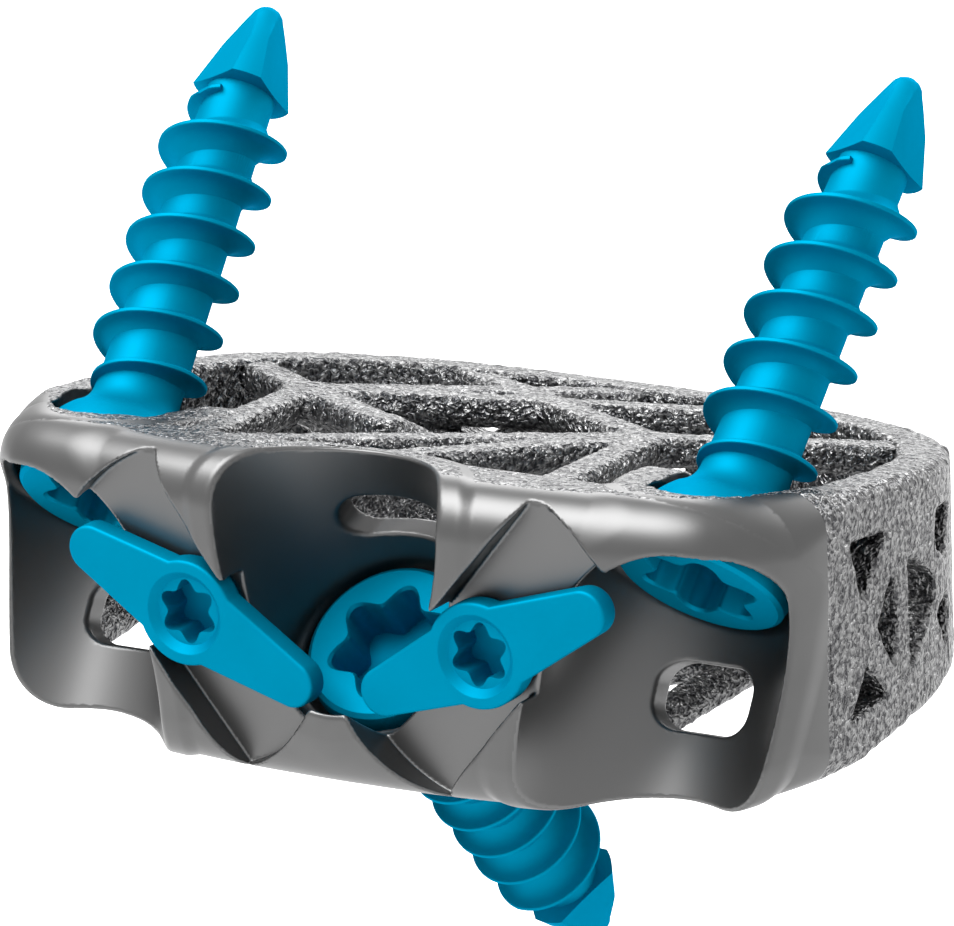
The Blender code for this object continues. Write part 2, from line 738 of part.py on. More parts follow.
def truss_windows(workshop):
    """Triangular windows between crossing bars, repeated along the back wall."""
    path = sorted(wall_path(TRUSS_START_Y), key=lambda p: math.atan2(p[0], WAIST_Y - p[1]) % math.tau)
    lengths = [0.0]
    for a, b in zip(path, path[1:]):
        lengths.append(lengths[-1] + math.dist(a, b))

    def along(distance):
        for i in range(len(path) - 1):
            if lengths[i + 1] >= distance or i == len(path) - 2:
                share = (distance - lengths[i]) / (lengths[i + 1] - lengths[i])
                x = path[i][0] + (path[i + 1][0] - path[i][0]) * share
                y = path[i][1] + (path[i + 1][1] - path[i][1]) * share
                tangent = Vector((path[i + 1][0] - path[i][0], path[i + 1][1] - path[i][1], 0.0))
                return Vector((x, y, 0.0)), tangent.normalized()

    bm = bmesh.new()
    cell = lengths[-1] / TRUSS_CELLS
    for i in range(TRUSS_CELLS):
        centre, tangent = along(cell * (i + 0.5))
        outward = Vector((tangent.y, -tangent.x, 0.0))
        tall = half_height(centre.y) - TRUSS_CAP
        wide = cell / 2 - TRUSS_BAR / 2
        bar = TRUSS_BAR / 2
        slope_gap = bar * math.hypot(wide, tall)
        apex_z = slope_gap / wide
        apex_x = slope_gap / tall
        base_x = wide * (1 - apex_z / tall)
        base_z = tall * (1 - apex_x / wide)
        for triangle in (
            ((-base_x, tall), (base_x, tall), (0.0, apex_z)),
            ((base_x, -tall), (-base_x, -tall), (0.0, -apex_z)),
            ((wide, base_z), (wide, -base_z), (apex_x, 0.0)),
            ((-wide, -base_z), (-wide, base_z), (-apex_x, 0.0)),
        ):
            low = [centre + tangent * u + Vector((0, 0, v)) - outward * RIM_WIDTH for u, v in triangle]
            base = bm.faces.new([bm.verts.new(point) for point in low])
            grown = bmesh.ops.extrude_face_region(bm, geom=[base])
            moved = [v for v in grown["geom"] if isinstance(v, bmesh.types.BMVert)]
            bmesh.ops.translate(bm, verts=moved, vec=outward * RIM_WIDTH * 2)
    return workshop.cutter("truss_windows", mesh_from("truss_windows", bm))


def lattice_mesh():
    """Round bars under the end faces, and rising bars between the two layers."""
    bm = bmesh.new()

    def node(name, level):
        x, y = LATTICE_NODES[name]
        x, y = x * MM * (1 if level > 0 else -1), y * MM
        return Vector((x, y, level * (half_height(y) - STRUT_DEPTH)))

    bars = [(node(a, level), node(b, level)) for level in (1, -1) for a, b in LATTICE_FLAT]
    bars += [(node(a, 1), node(b, -1)) for a, b in LATTICE_RISING]
    for i, (start, end) in enumerate(bars):
        overrun = (end - start).normalized() * STRUT_OVERRUN * (1 + i % 7)
        start, end = start - overrun, end + overrun * 0.8
        place = Matrix.Translation((start + end) / 2) @ lay_along(end - start)
        bmesh.ops.create_cone(
            bm,
            cap_ends=True,
            segments=STRUT_SIDES,
            radius1=STRUT_RADIUS,
            radius2=STRUT_RADIUS,
            depth=(end - start).length,
            matrix=place,
        )
    for name in KNOB_NODES:
        for level in (1, -1):
            place = Matrix.Translation(node(name, level)) @ Matrix.Rotation(0.2, 4, "X")
            bmesh.ops.create_uvsphere(bm, u_segments=11, v_segments=7, radius=KNOB_RADIUS, matrix=place)
    return mesh_from("lattice", bm)


def make_cage(workshop, material):
    """Hollow wedge, filled with shells and lattice, trimmed, then pocketed and bored."""
    tall = FRONT_HALF_HEIGHT + CUT_MARGIN
    rough_outline = footprint(-CUT_MARGIN / 2)
    body = workshop.part("cage_body", prism_mesh("cage_body", rough_outline, -tall, tall), material)
    chamber_outline = [(x, max(y, FRONT_WALL)) for x, y in footprint(RIM_WIDTH)]
    flat = [p for p in chamber_outline if p[1] > FRONT_WALL]
    low_x = [x for x, y in chamber_outline if y <= FRONT_WALL]
    chamber_outline = flat + [(min(low_x), FRONT_WALL), (max(low_x), FRONT_WALL)]
    chamber_outline.sort(key=lambda p: math.atan2(p[1] - WAIST_Y, p[0]))
    chamber = workshop.cutter(
        "graft_chamber", prism_mesh("graft_chamber", chamber_outline, -tall - MM, tall + MM)
    )
    wedge = workshop.cutter("wedge", wedge_mesh())
    lattice = workshop.cutter("lattice", lattice_mesh())
    add_boolean(body, chamber, "DIFFERENCE")
    add_boolean(body, lattice, "UNION", self_overlap=True)
    axes = screw_axes()
    for side, (head, direction) in axes.items():
        shell = pocket_cone(
            workshop, f"pocket_shell_{side}", head, direction, SHELL_WALL, POCKET_BOTTOM + SHELL_WALL
        )
        boss_mesh = cone_mesh(
            f"seat_boss_{side}", SEAT_BOSS_RADIUS, SEAT_BOSS_RADIUS, 0.0, SEAT_BOSS_END, POCKET_STEPS
        )
        boss = workshop.cutter(f"seat_boss_{side}", boss_mesh)
        place_on_axis(boss, head, direction)
        add_boolean(body, shell, "UNION")
        add_boolean(body, boss, "UNION")
    for side, sign in (("left", -1), ("right", 1)):
        name = f"pivot_post_{side}"
        post_mesh = cone_mesh(
            name, PIVOT_POST_RADIUS, PIVOT_POST_RADIUS, LOCK_THICKNESS, PIVOT_POST_END, ROUND_STEPS
        )
        post = workshop.cutter(name, along_y(post_mesh))
        post.location = (sign * LOCK_SPACING / 2, 0.0, 0.0)
        add_boolean(body, post, "UNION")
    add_boolean(body, wedge, "INTERSECT")
    add_boolean(body, workshop.cutter("rounded_slab", rounded_slab_mesh()), "INTERSECT")
    for side, (head, direction) in axes.items():
        add_boolean(body, pocket_cone(workshop, f"pocket_{side}", head, direction), "DIFFERENCE")
        add_boolean(body, seat_cutter(workshop, side, head, direction), "DIFFERENCE")
    for side, sign in (("left", -1), ("right", 1)):
        for cutter in lock_pocket_cutters(workshop, side, sign):
            add_boolean(body, cutter, "DIFFERENCE")
    for cutter in window_cutters(workshop):
        add_boolean(body, cutter, "DIFFERENCE")
    add_boolean(body, side_windows(workshop), "DIFFERENCE")
    add_boolean(body, truss_windows(workshop), "DIFFERENCE")
    return body


def main():
    clear_scene()
    workshop = Workshop()
    printed = make_material("printed_titanium", (0.33, 0.33, 0.34), 0.45, 0.9)
    anodised = make_material("blue_anodised_titanium", (0.0, 0.36, 0.62), 0.35, 0.8)
    make_cage(workshop, printed)
    make_screws(workshop, anodised)
    make_locks(workshop, anodised)


main()
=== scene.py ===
"""Looks for the spinal cage: a printed titanium body, blue anodised bone screws and rotary locks.

Sizes are in millimetres, measured from the front plane of the locks, as a drawing of the cage
would give them. One function carries finished points to the row frame.
"""
import math

import bmesh
import bpy
import numpy as np
from mathutils import Matrix, Vector, noise


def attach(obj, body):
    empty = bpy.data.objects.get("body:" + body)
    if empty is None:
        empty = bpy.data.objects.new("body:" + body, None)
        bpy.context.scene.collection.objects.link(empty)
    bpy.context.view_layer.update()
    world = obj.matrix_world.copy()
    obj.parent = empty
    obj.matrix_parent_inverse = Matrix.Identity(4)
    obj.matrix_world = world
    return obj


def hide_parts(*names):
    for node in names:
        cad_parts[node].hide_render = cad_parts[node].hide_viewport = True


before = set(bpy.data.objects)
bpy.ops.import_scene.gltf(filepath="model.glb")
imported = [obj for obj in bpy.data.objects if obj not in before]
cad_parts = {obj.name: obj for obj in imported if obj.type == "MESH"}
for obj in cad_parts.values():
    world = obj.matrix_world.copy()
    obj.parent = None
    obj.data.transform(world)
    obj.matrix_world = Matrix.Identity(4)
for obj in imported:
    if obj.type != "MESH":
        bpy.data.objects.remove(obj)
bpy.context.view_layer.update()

MM = 0.001
BODY_MID_Y = 12.0

# Footprint, wedge and front bullnose of the cage
HALF_WIDTH = 17.95
FRONT_Y, WAIST_Y, BACK_Y = -0.3, 11.5, 24.3
FRONT_SQUARENESS, BACK_SQUARENESS = 3.8, 2.95
FRONT_BOW = 60.0
CREASE_BLEND = 0.3
FRONT_HALF_HEIGHT = 6.5
LORDOSIS = math.atan(0.12)
BULLNOSE = 2.2
EDGE = 0.55
CORNER_END_Y, EDGE_START_Y = 5.0, 9.0
MACHINED_END_Y = 6.7
RIM = 1.9
FRONT_WALL = 4.6
CHAMBER_CORNER, CHAMBER_EDGE = 1.2, 0.35
SHELL = 1.1
WALL_FILLET, WALL_EDGE = 0.5, 0.3

# What counts as an end face, as a cut face and as the outer skin
ON_FACE_COSINE, ON_CUT, ON_SKIN, SKIN_END_Y = 0.985, 0.05, 0.06, 10

# Cells of the grid that the cage is worked out on, its box, and what is left of its triangles
CELL, QUICK_CELL = 0.125, 0.16
SCAN_LOW, SCAN_HIGH = (-18.6, -1.0, -7.2), (18.6, 25.0, 7.2)
SETTLE_REACH = 0.06
CAGE_TRIANGLES, LATTICE_TRIANGLES = 195000, 190000

# Boxes of the cuts: they start ahead of the front and end past the sides and end faces
AHEAD_Y, SIDE_X, PAST_Z = -1.1, 18.6, 7.3
POCKETS_END_Y, WALLS_END_Y, BORES_END_Y = 9.5, 15.0, 16.0
POCKET_REACH, SWEEP_REACH, WINDOW_REACH = 7.2, 7.0, 3.2
SHAFT_BOX_Y, SHAFT_BOX_REACH = 3.0, (2.4, 4.0, 2.4)
SIDE_WALL_X, TRUSS_REACH = (15.75, 18.7), (3.6, 3.6, 6.0)

# Printed and blasted surfaces: widths of what the eye sees on them, and how high it stands
BEAD, LUMP, LUMP_SHARE, LUMP_HEIGHT = 0.2, 0.5, 1.2, 0.05
RELIEF = 0.3
HAZE, BLAST, OXIDE = 2.2, 0.12, 3.0

# Screw axes: middle of the head's open face, then the way the point goes
LATERAL_HEAD = np.array((13.32, 4.99, 2.16))
LATERAL_TILT, LATERAL_TURN = math.radians(46), math.radians(4)
CENTRAL_HEAD = np.array((0.0, 4.25, -1.5))
CENTRAL_TILT = math.radians(-47)
HEAD_RADIUS, HEAD_CENTRE = 3.45, 0.95
THREAD_RADIUS, PITCH = 2.5, 2.124
THREAD_START, THREAD_END, THREAD_PHASE = 4.4, 17.9, math.radians(139)
CORE_HEAD, CORE_POINT = 1.72, 1.38
SCREW_LENGTH, POINT_RADIUS = 22.4, 0.7
SHOULDER, SHOULDER_RADIUS, SHOULDER_RISE = 18.5, 2.05, 0.12
WAIST, WAIST_RADIUS = 20.45, 1.42
NECK_RADIUS, NECK_LENGTH, NECK_HOLLOW = 2.5, 1.35, 2.4
HEAD_CHAMFER, HEAD_CHAMFER_ANGLE = 0.14, 0.04
THREAD_DEPTH, THREAD_FOOT, THREAD_HOLLOW = 1.2, PITCH * 0.47, 2.7
CREST_HALF, CREST_CHAMFER, CREST_STEP = 0.09, 0.03, 0.02
THREAD_OVERLAP = 0.2
FACET_TURN, FACET_START = math.radians(-1.7), 17.6
FACET_START_DEPTH, FACET_TIP_DEPTH = 1.72, 0.5
RECESS_RADIUS, RECESS_DEPTH = 2.4, 2.2
CENTRAL_SPIN = math.radians(30)

# Screw pockets and seats
POCKET_RADIUS, POCKET_FLARE, POCKET_START = 3.9, 0.134, 0.6
POCKET_SHIFT, POCKET_SHIFT_SLOPE = 0.35, 0.085
POCKET_MOUTH, POCKET_BOTTOM_EDGE = -14.0, 0.5
SEAT_GAP, SEAT_LIP, BORE_FILLET = 0.3, 0.2, 0.15
POCKET_EDGE, SEAT_EDGE = 0.28, 0.12
SEAT_BOSS_RADIUS, SEAT_BOSS_LENGTH, SEAT_BOSS_EDGE = 4.55, 4.9, 0.4

# Windows behind the screw heads: middle, width, height and lean
WINDOW_TILT, WINDOW_CORNER, WINDOW_HALF_DEPTH = math.radians(20), 1.0, 2.0
WINDOW_EDGE = 0.15
POCKET_WINDOWS = (
    ((-12.8, 6.3, -2.67), 3.9, 2.6, -WINDOW_TILT),
    ((12.8, 6.3, -2.67), 3.9, 2.6, -WINDOW_TILT),
    ((0.0, 5.8, 3.08), 5.0, 2.0, WINDOW_TILT),
)

# Rotary locks
LOCK_X = 6.45
LOCK_THICKNESS = 1.0
LOCK_HUB, LOCK_ROOT, LOCK_TIP = 2.1, 1.75, 0.95
LOCK_LONG, LOCK_SHORT = 5.15, 4.65
LOCKED, TRAVEL = math.radians(25.5), math.radians(38)
LOCK_CLEARANCE = 0.25
LOCK_FLOOR = 1.3
LOCK_EDGE, SWEEP_EDGE, HOLE_EDGE, SWEEP_FLOOR_EDGE = 0.14, 0.15, 0.08, 0.08
POST_RADIUS, POST_END, POST_EDGE = 2.75, 5.4, 0.3
BOSS_RADIUS, BOSS_START, BOSS_END, BOSS_HOLE_RADIUS = 1.75, 0.5, 2.2, 1.83
SHAFT_RADIUS, SHAFT_START, SHAFT_END, SHAFT_HOLE_RADIUS = 1.0, 1.1, 6.8, 1.08
SINK_WIDE, SINK_NARROW, SINK_DEPTH = 1.94, 1.34, 0.3
DRIVER_RADIUS, DRIVER_DEPTH = 1.28, 1.7

# Truss windows of the side walls, as (y, z) outlines, and of the back wall
SIDE_WINDOW_CORNER, TRUSS_CORNER, TRUSS_EDGE = 0.2, 0.18, 0.2
TRUSS_CELLS, TRUSS_BAR, TRUSS_CAP, TRUSS_START_Y = 5, 1.15, 1.9, 18.6
SIDE_WINDOWS = (
    ((8.45, 3.5), (11.2, 3.2), (9.35, 1.0)),
    ((10.5, -0.4), (11.75, 1.5), (12.05, -0.3), (11.65, -2.1)),
    ((9.55, -1.65), (8.35, -3.5), (11.1, -3.2)),
    ((13.0, 1.75), (15.3, 0.4), (15.3, -0.6), (13.1, -2.7)),
    ((15.8, 2.8), (17.3, 2.6), (16.6, 0.7), (15.6, 1.4)),
    ((15.6, -1.3), (16.9, -0.8), (16.7, -2.9)),
)

# Bars of the lattice, as places on the plan of the chamber
BAR_RADIUS, BAR_DEPTH, KNOB, LATTICE_GAP = 0.85, 0.62, 1.15, 0.3
LATTICE_NODES = {
    "apex_left": (-10.2, 15.3),
    "apex_right": (5.8, 14.6),
    "front_left": (-8.2, 3.2),
    "front_right": (7.6, 3.0),
    "front_mid": (-0.4, 4.9),
    "back_left": (-8.0, 23.2),
    "back_right": (8.4, 22.4),
    "back_mid": (1.5, 23.4),
    "corner_left": (-15.6, 19.4),
    "corner_right": (15.4, 19.6),
    "cross_mid": (-4.3, 11.4),
    "side_left": (-16.6, 12.0),
    "side_right": (16.6, 12.0),
}
LATTICE_FLAT = (
    ("front_left", "apex_left"),
    ("front_left", "apex_right"),
    ("apex_left", "cross_mid"),
    ("apex_left", "corner_left"),
    ("apex_left", "back_right"),
    ("apex_left", "back_mid"),
    ("apex_right", "back_left"),
    ("apex_right", "corner_right"),
    ("apex_right", "front_right"),
    ("apex_right", "front_mid"),
)
LATTICE_RISING = (
    ("apex_left", "side_left"),
    ("apex_left", "back_left"),
    ("apex_left", "cross_mid"),
    ("apex_right", "side_right"),
    ("apex_right", "back_right"),
    ("apex_right", "corner_right"),
    ("cross_mid", "back_mid"),
)

# Floor in metres of the row frame, and how far it glows by itself
FLOOR_HALF, FLOOR_LEVEL, FLOOR_GLOW = 3.0, -0.045, 0.45
PHOTO_WIDTH = 954


def linear(hex_colour):
    """An sRGB hex colour as linear RGBA."""
    parts = [int(hex_colour[i:i + 2], 16) / 255 for i in (1, 3, 5)]
    return (*[c / 12.92 if c <= 0.04045 else ((c + 0.055) / 1.055) ** 2.4 for c in parts], 1.0)


def add_node(tree, kind, inputs=None, **settings):
    """Adds a node, sets its settings, and sets or links its inputs."""
    node = tree.nodes.new(kind)
    for key, value in settings.items():
        setattr(node, key, value)
    for key, value in (inputs or {}).items():
        if isinstance(value, bpy.types.NodeSocket):
            tree.links.new(value, node.inputs[key])
        else:
            node.inputs[key].default_value = value
    return node


def new_material(name):
    material = bpy.data.materials.new(name)
    material.use_nodes = True
    tree = material.node_tree
    return material, tree, tree.nodes["Principled BSDF"]


def printed_titanium():
    """Powder-bed titanium: sintered grains all over, but a satin machined front and pockets."""
    material, tree, shader = new_material("printed_titanium")
    place = add_node(tree, "ShaderNodeTexCoord").outputs["Object"]
    depth = add_node(tree, "ShaderNodeSeparateXYZ", {"Vector": place}).outputs["Y"]
    # The cutter ran round the front skin as far as this line on the side walls
    in_front = add_node(
        tree, "ShaderNodeMath", {0: depth, 1: (MACHINED_END_Y - BODY_MID_Y) * MM},
        operation="LESS_THAN",
    ).outputs[0]
    skin_mask, cut_mask = (
        add_node(
            tree, "ShaderNodeMath",
            {0: add_node(tree, "ShaderNodeAttribute", attribute_name=name).outputs["Fac"], 1: 0.5},
            operation="GREATER_THAN",
        ).outputs[0]
        for name in ("front_skin", "machined_cut")
    )
    turned_front = add_node(
        tree, "ShaderNodeMath", {0: in_front, 1: skin_mask}, operation="MULTIPLY"
    ).outputs[0]
    machined = add_node(
        tree, "ShaderNodeMath", {0: turned_front, 1: cut_mask}, operation="MAXIMUM"
    ).outputs[0]
    rough = add_node(
        tree, "ShaderNodeMath", {0: 1.0, 1: machined}, operation="SUBTRACT"
    ).outputs[0]
    # Half-melted powder: worm-like beads a fifth of a millimetre across on lumps over twice as wide
    beads = add_node(
        tree, "ShaderNodeTexNoise",
        {"Vector": place, "Scale": 1 / (BEAD * MM), "Detail": 1.0, "Roughness": 0.5,
         "Distortion": 0.6},
    ).outputs["Fac"]
    lumps = add_node(
        tree, "ShaderNodeTexNoise", {"Vector": place, "Scale": 1 / (LUMP * MM), "Detail": 1.0},
    ).outputs["Fac"]
    swell = add_node(
        tree, "ShaderNodeMath", {0: lumps, 1: LUMP_SHARE}, operation="MULTIPLY"
    ).outputs[0]
    height = add_node(tree, "ShaderNodeMath", {0: beads, 1: swell}, operation="ADD").outputs[0]
    bump = add_node(
        tree, "ShaderNodeBump", {"Height": height, "Strength": rough, "Distance": RELIEF * MM},
    )
    tree.links.new(bump.outputs["Normal"], shader.inputs["Normal"])
    # Painted shade and highlight: pits between beads get a darker colour, bead tops a lighter one
    pit_shade_and_top_light = add_node(
        tree, "ShaderNodeMapRange", {"Value": beads, "From Min": 0.35, "From Max": 0.68},
        interpolation_type="SMOOTHSTEP",
    ).outputs["Result"]
    haze = add_node(
        tree, "ShaderNodeTexNoise", {"Vector": place, "Scale": 1 / (HAZE * MM), "Detail": 2.0},
    ).outputs["Fac"]
    sintered = add_node(
        tree, "ShaderNodeMix", {"Factor": pit_shade_and_top_light, 6: linear("#404042"), 7: linear("#8A8A8A")},
        data_type="RGBA",
    ).outputs[2]
    satin = add_node(
        tree, "ShaderNodeMix", {"Factor": haze, 6: linear("#5B5B5B"), 7: linear("#646464")},
        data_type="RGBA",
    ).outputs[2]
    # Painted light: the cut pockets get a lighter colour than the front, to lift the shade that
    # falls inside them
    satin = add_node(
        tree, "ShaderNodeMix", {"Factor": cut_mask, 6: satin, 7: linear("#686868")},
        data_type="RGBA",
    ).outputs[2]
    colour = add_node(
        tree, "ShaderNodeMix", {"Factor": machined, 6: sintered, 7: satin}, data_type="RGBA"
    ).outputs[2]
    tree.links.new(colour, shader.inputs["Base Color"])
    roughness = add_node(
        tree, "ShaderNodeMapRange", {"Value": machined, "To Min": 0.33, "To Max": 0.4},
    ).outputs["Result"]
    tree.links.new(roughness, shader.inputs["Roughness"])
    shader.inputs["Metallic"].default_value = 1.0
    return material


def anodised_titanium():
    """Blue anodised titanium: oxide colour over a bead-blasted surface, saturated and satin."""
    material, tree, shader = new_material("blue_anodised_titanium")
    place = add_node(tree, "ShaderNodeTexCoord").outputs["Object"]
    blast = add_node(
        tree, "ShaderNodeTexNoise", {"Vector": place, "Scale": 1 / (BLAST * MM), "Detail": 2.0},
    ).outputs["Fac"]
    # Oxide thickness drifts a little over each piece
    cloud = add_node(
        tree, "ShaderNodeTexNoise", {"Vector": place, "Scale": 1 / (OXIDE * MM), "Detail": 2.0},
    ).outputs["Fac"]
    tint = add_node(
        tree, "ShaderNodeMix", {"Factor": cloud, 6: linear("#007E9C"), 7: linear("#0086A6")},
        data_type="RGBA",
    ).outputs[2]
    tree.links.new(tint, shader.inputs["Base Color"])
    bump = add_node(
        tree, "ShaderNodeBump", {"Height": blast, "Strength": 0.15, "Distance": 0.01 * MM},
    )
    tree.links.new(bump.outputs["Normal"], shader.inputs["Normal"])
    shader.inputs["Metallic"].default_value = 1.0
    shader.inputs["Roughness"].default_value = 0.68
    shader.inputs["Specular Tint"].default_value = linear("#50C8F0")
    return material


def rounded_and(a, b, radius):
    """Intersection of two distance fields with a rounded edge."""
    outside = np.hypot(np.maximum(a + radius, 0), np.maximum(b + radius, 0))
    return np.minimum(np.maximum(a, b), -radius) + outside


def rounded_or(a, b, radius):
    """Union of two distance fields with a fillet."""
    return -rounded_and(-a, -b, radius)


def unit(direction):
    return np.asarray(direction, float) / np.linalg.norm(direction)


def screw_axes():
    """Head place and pointing direction of each screw."""
    level = math.cos(LATERAL_TILT)
    right = np.array(
        (math.sin(LATERAL_TURN) * level, math.cos(LATERAL_TURN) * level, math.sin(LATERAL_TILT))
    )
    flip = np.array((-1.0, 1.0, 1.0))
    centre = np.array((0.0, math.cos(CENTRAL_TILT), math.sin(CENTRAL_TILT)))
    return {
        "left": (LATERAL_HEAD * flip, right * flip),
        "right": (LATERAL_HEAD, right),
        "center": (CENTRAL_HEAD, centre),
    }


def end_plane(y, z):
    """Distance past the tilted end faces."""
    return (np.abs(z) - FRONT_HALF_HEIGHT + y * math.tan(LORDOSIS)) * math.cos(LORDOSIS)


def footprint(x, y, inset=0.0):
    """Distance outside the superellipse of the plan, drawn inwards by inset."""
    back = y >= WAIST_Y
    power = np.where(back, BACK_SQUARENESS, FRONT_SQUARENESS)
    depth = np.where(back, BACK_Y - WAIST_Y, WAIST_Y - FRONT_Y) - inset
    width = HALF_WIDTH - inset
    u = np.abs(x) / width + 1e-6
    v = np.abs(y - WAIST_Y) / depth + 1e-6
    reach = (u**power + v**power) ** (1 / power)
    slope = np.hypot((u / reach) ** (power - 1) / width, (v / reach) ** (power - 1) / depth)
    return (reach - 1) / slope


def front_face(x, y):
    bow = FRONT_Y + FRONT_BOW - np.sqrt(FRONT_BOW**2 - x**2)
    return (bow - y) * np.sqrt(1 - (x / FRONT_BOW) ** 2)


def edge_radius(y):
    """Rounding of the outer edges: the bullnose runs round the front corners, then fades."""
    part = np.clip((y - CORNER_END_Y) / (EDGE_START_Y - CORNER_END_Y), 0, 1)
    return BULLNOSE + (EDGE - BULLNOSE) * part


def blank(x, y, z):
    """Wedge with the bullnosed front and rounded rims."""
    front, plan = front_face(x, y), footprint(x, y)
    gap = np.maximum(CREASE_BLEND - np.abs(front - plan), 0)
    side = np.maximum(front, plan) + gap**2 / (4 * CREASE_BLEND)
    return rounded_and(side, end_plane(y, z), edge_radius(y))


def along(start, direction):
    """Function giving the way along an axis and the distance from it."""
    start, direction = np.asarray(start, float), unit(direction)

    def measure(x, y, z):
        dx, dy, dz = x - start[0], y - start[1], z - start[2]
        t = dx * direction[0] + dy * direction[1] + dz * direction[2]
        return t, np.sqrt(np.maximum(dx * dx + dy * dy + dz * dz - t * t, 0))

    return measure


def pocket(head, direction, wall=0.0, bottom=POCKET_START):
    """Conical pocket that widens towards its mouth, or its shell when a wall is given."""
    near = np.array((0.0, -abs(direction[2]), math.copysign(direction[1], direction[2])))
    start, end = (
        head + direction * t + near * (POCKET_SHIFT + POCKET_SHIFT_SLOPE * (t - POCKET_START))
        for t in (bottom, POCKET_MOUTH)
    )
    radius = POCKET_RADIUS - POCKET_FLARE * (bottom - POCKET_START) + wall
    measure = along(start, end - start)
    lean = 1 / math.hypot(1, POCKET_FLARE)

    def shape(x, y, z):
        t, r = measure(x, y, z)
        return rounded_and((r - radius - POCKET_FLARE * t) * lean, -t, POCKET_BOTTOM_EDGE)

    return shape


def rod(start, direction, radius, low, high, edge):
    """Solid cylinder between two places on an axis."""
    measure = along(start, direction)

    def shape(x, y, z):
        t, r = measure(x, y, z)
        return rounded_and(r - radius, np.maximum(low - t, t - high), edge)

    return shape


def seat(head, direction):
    """Ball seat with the bore running on through the body."""
    measure = along(head, direction)

    def shape(x, y, z):
        t, r = measure(x, y, z)
        ball = np.hypot(r, t - HEAD_CENTRE) - HEAD_RADIUS - SEAT_GAP
        bore = np.maximum(r - THREAD_RADIUS - SEAT_GAP, -t)
        return rounded_or(np.maximum(ball, -SEAT_LIP - t), bore, BORE_FILLET)

    return shape


def lock_sweep(sign):
    """What a lock sweeps between locked and open: two fans between straight sides."""
    hub = LOCK_HUB + LOCK_CLEARANCE
    tip = LOCK_TIP + LOCK_CLEARANCE
    reach = LOCK_LONG + tip
    half = math.pi / 2 - math.asin((hub - tip) / LOCK_LONG)
    middle = LOCKED + TRAVEL / 2
    sides = [middle + TRAVEL / 2 + half, middle - TRAVEL / 2 - half]

    def shape(x, y, z):
        u, v = (x - sign * LOCK_X) * sign, z
        low, high = (u * math.cos(a) + v * math.sin(a) for a in sides)
        fans = np.minimum(np.maximum(low, high), np.maximum(-low, -high)) - hub
        outline = np.maximum(fans, np.hypot(u, v) - reach)
        return rounded_and(outline + 0 * y, y - LOCK_FLOOR, SWEEP_FLOOR_EDGE)

    return shape


def window(centre, width, height, tilt):
    """Rounded window cut level across and tilted about X."""
    cos, sin = math.cos(tilt), math.sin(tilt)
    corner = min(WINDOW_CORNER, height * 0.49)

    def shape(x, y, z):
        u = np.abs(x - centre[0]) - width / 2 + corner
        dy, dz = y - centre[1], z - centre[2]
        v = np.abs(dz * cos - dy * sin) - height / 2 + corner
        depth = np.abs(dy * cos + dz * sin) - WINDOW_HALF_DEPTH
        outside = np.hypot(np.maximum(u, 0), np.maximum(v, 0))
        return np.maximum(outside + np.minimum(np.maximum(u, v), 0) - corner, depth)

    return shape


def polygon(points, corner):
    """Distance function of a convex outline with rounded corners."""
    points = np.asarray(points, float)
    if np.cross(points[1] - points[0], points[2] - points[1]) < 0:
        points = points[::-1]

    def shape(u, v):
        worst = None
        for a, b in zip(points, np.roll(points, -1, axis=0)):
            nx, ny = unit((b[1] - a[1], a[0] - b[0]))
            side = (u - a[0]) * nx + (v - a[1]) * ny
            worst = side if worst is None else rounded_and(worst, side, corner)
        return worst

    return shape


class Solid:
    """A list of joins and cuts, worked out as signed distances, negative inside the metal."""

    def __init__(self, shape):
        self.steps = [(shape, 0.0, 0, None, None)]

    def join(self, shape, fillet, low, high):
        self.steps.append((shape, fillet, 1, low, high))

    def cut(self, shape, edge, low=None, high=None):
        self.steps.append((shape, edge, -1, low, high))

    def grid(self, low, high, cell):
        """Distances on a grid, each step worked out only inside its own box."""
        axes = [np.arange(a, b + cell, cell) for a, b in zip(low, high)]
        values = np.full([len(axis) for axis in axes], 9.0, np.float32)
        for shape, radius, kind, near, far in self.steps:
            spans = [slice(None)] * 3
            if near is not None:
                spans = [
                    slice(*np.searchsorted(axis, (a, b))) for axis, a, b in zip(axes, near, far)
                ]
            x, y, z = (axis[span].astype(np.float32) for axis, span in zip(axes, spans))
            distance = shape(x[:, None, None], y[None, :, None], z[None, None, :])
            spans = tuple(spans)
            values[spans] = merge(values[spans], distance, radius, kind)
        return values

    def at(self, points):
        """Distances at loose points."""
        values = np.full(len(points), 9.0)
        for shape, radius, kind, near, far in self.steps:
            inside = slice(None)
            if near is not None:
                inside = np.flatnonzero(((points > near) & (points < far)).all(1))
                if not len(inside):
                    continue
            distance = shape(*points[inside].T)
            values[inside] = merge(values[inside], distance, radius, kind)
        return values

    def slope(self, points, value, step=0.004):
        moved = [self.at(points + step * axis) for axis in np.eye(3)]
        return (np.stack(moved, 1) - value[:, None]) / step

    def settle(self, points, reach, rounds=2):
        """Moves points onto the surface; returns them with the surface's normals."""
        for _ in range(rounds):
            value = self.at(points)
            slope = self.slope(points, value)
            steep = np.maximum((slope**2).sum(1), 0.2)
            points = points - slope * np.clip(value / steep, -reach, reach)[:, None]
        slope = self.slope(points, self.at(points))
        return points, slope / np.maximum(np.linalg.norm(slope, axis=1), 1e-6)[:, None]


def merge(values, distance, radius, kind):
    if kind == 0:
        return np.broadcast_to(distance, values.shape).astype(values.dtype)
    if kind > 0:
        return rounded_or(values, distance, radius)
    return rounded_and(values, -distance, radius)


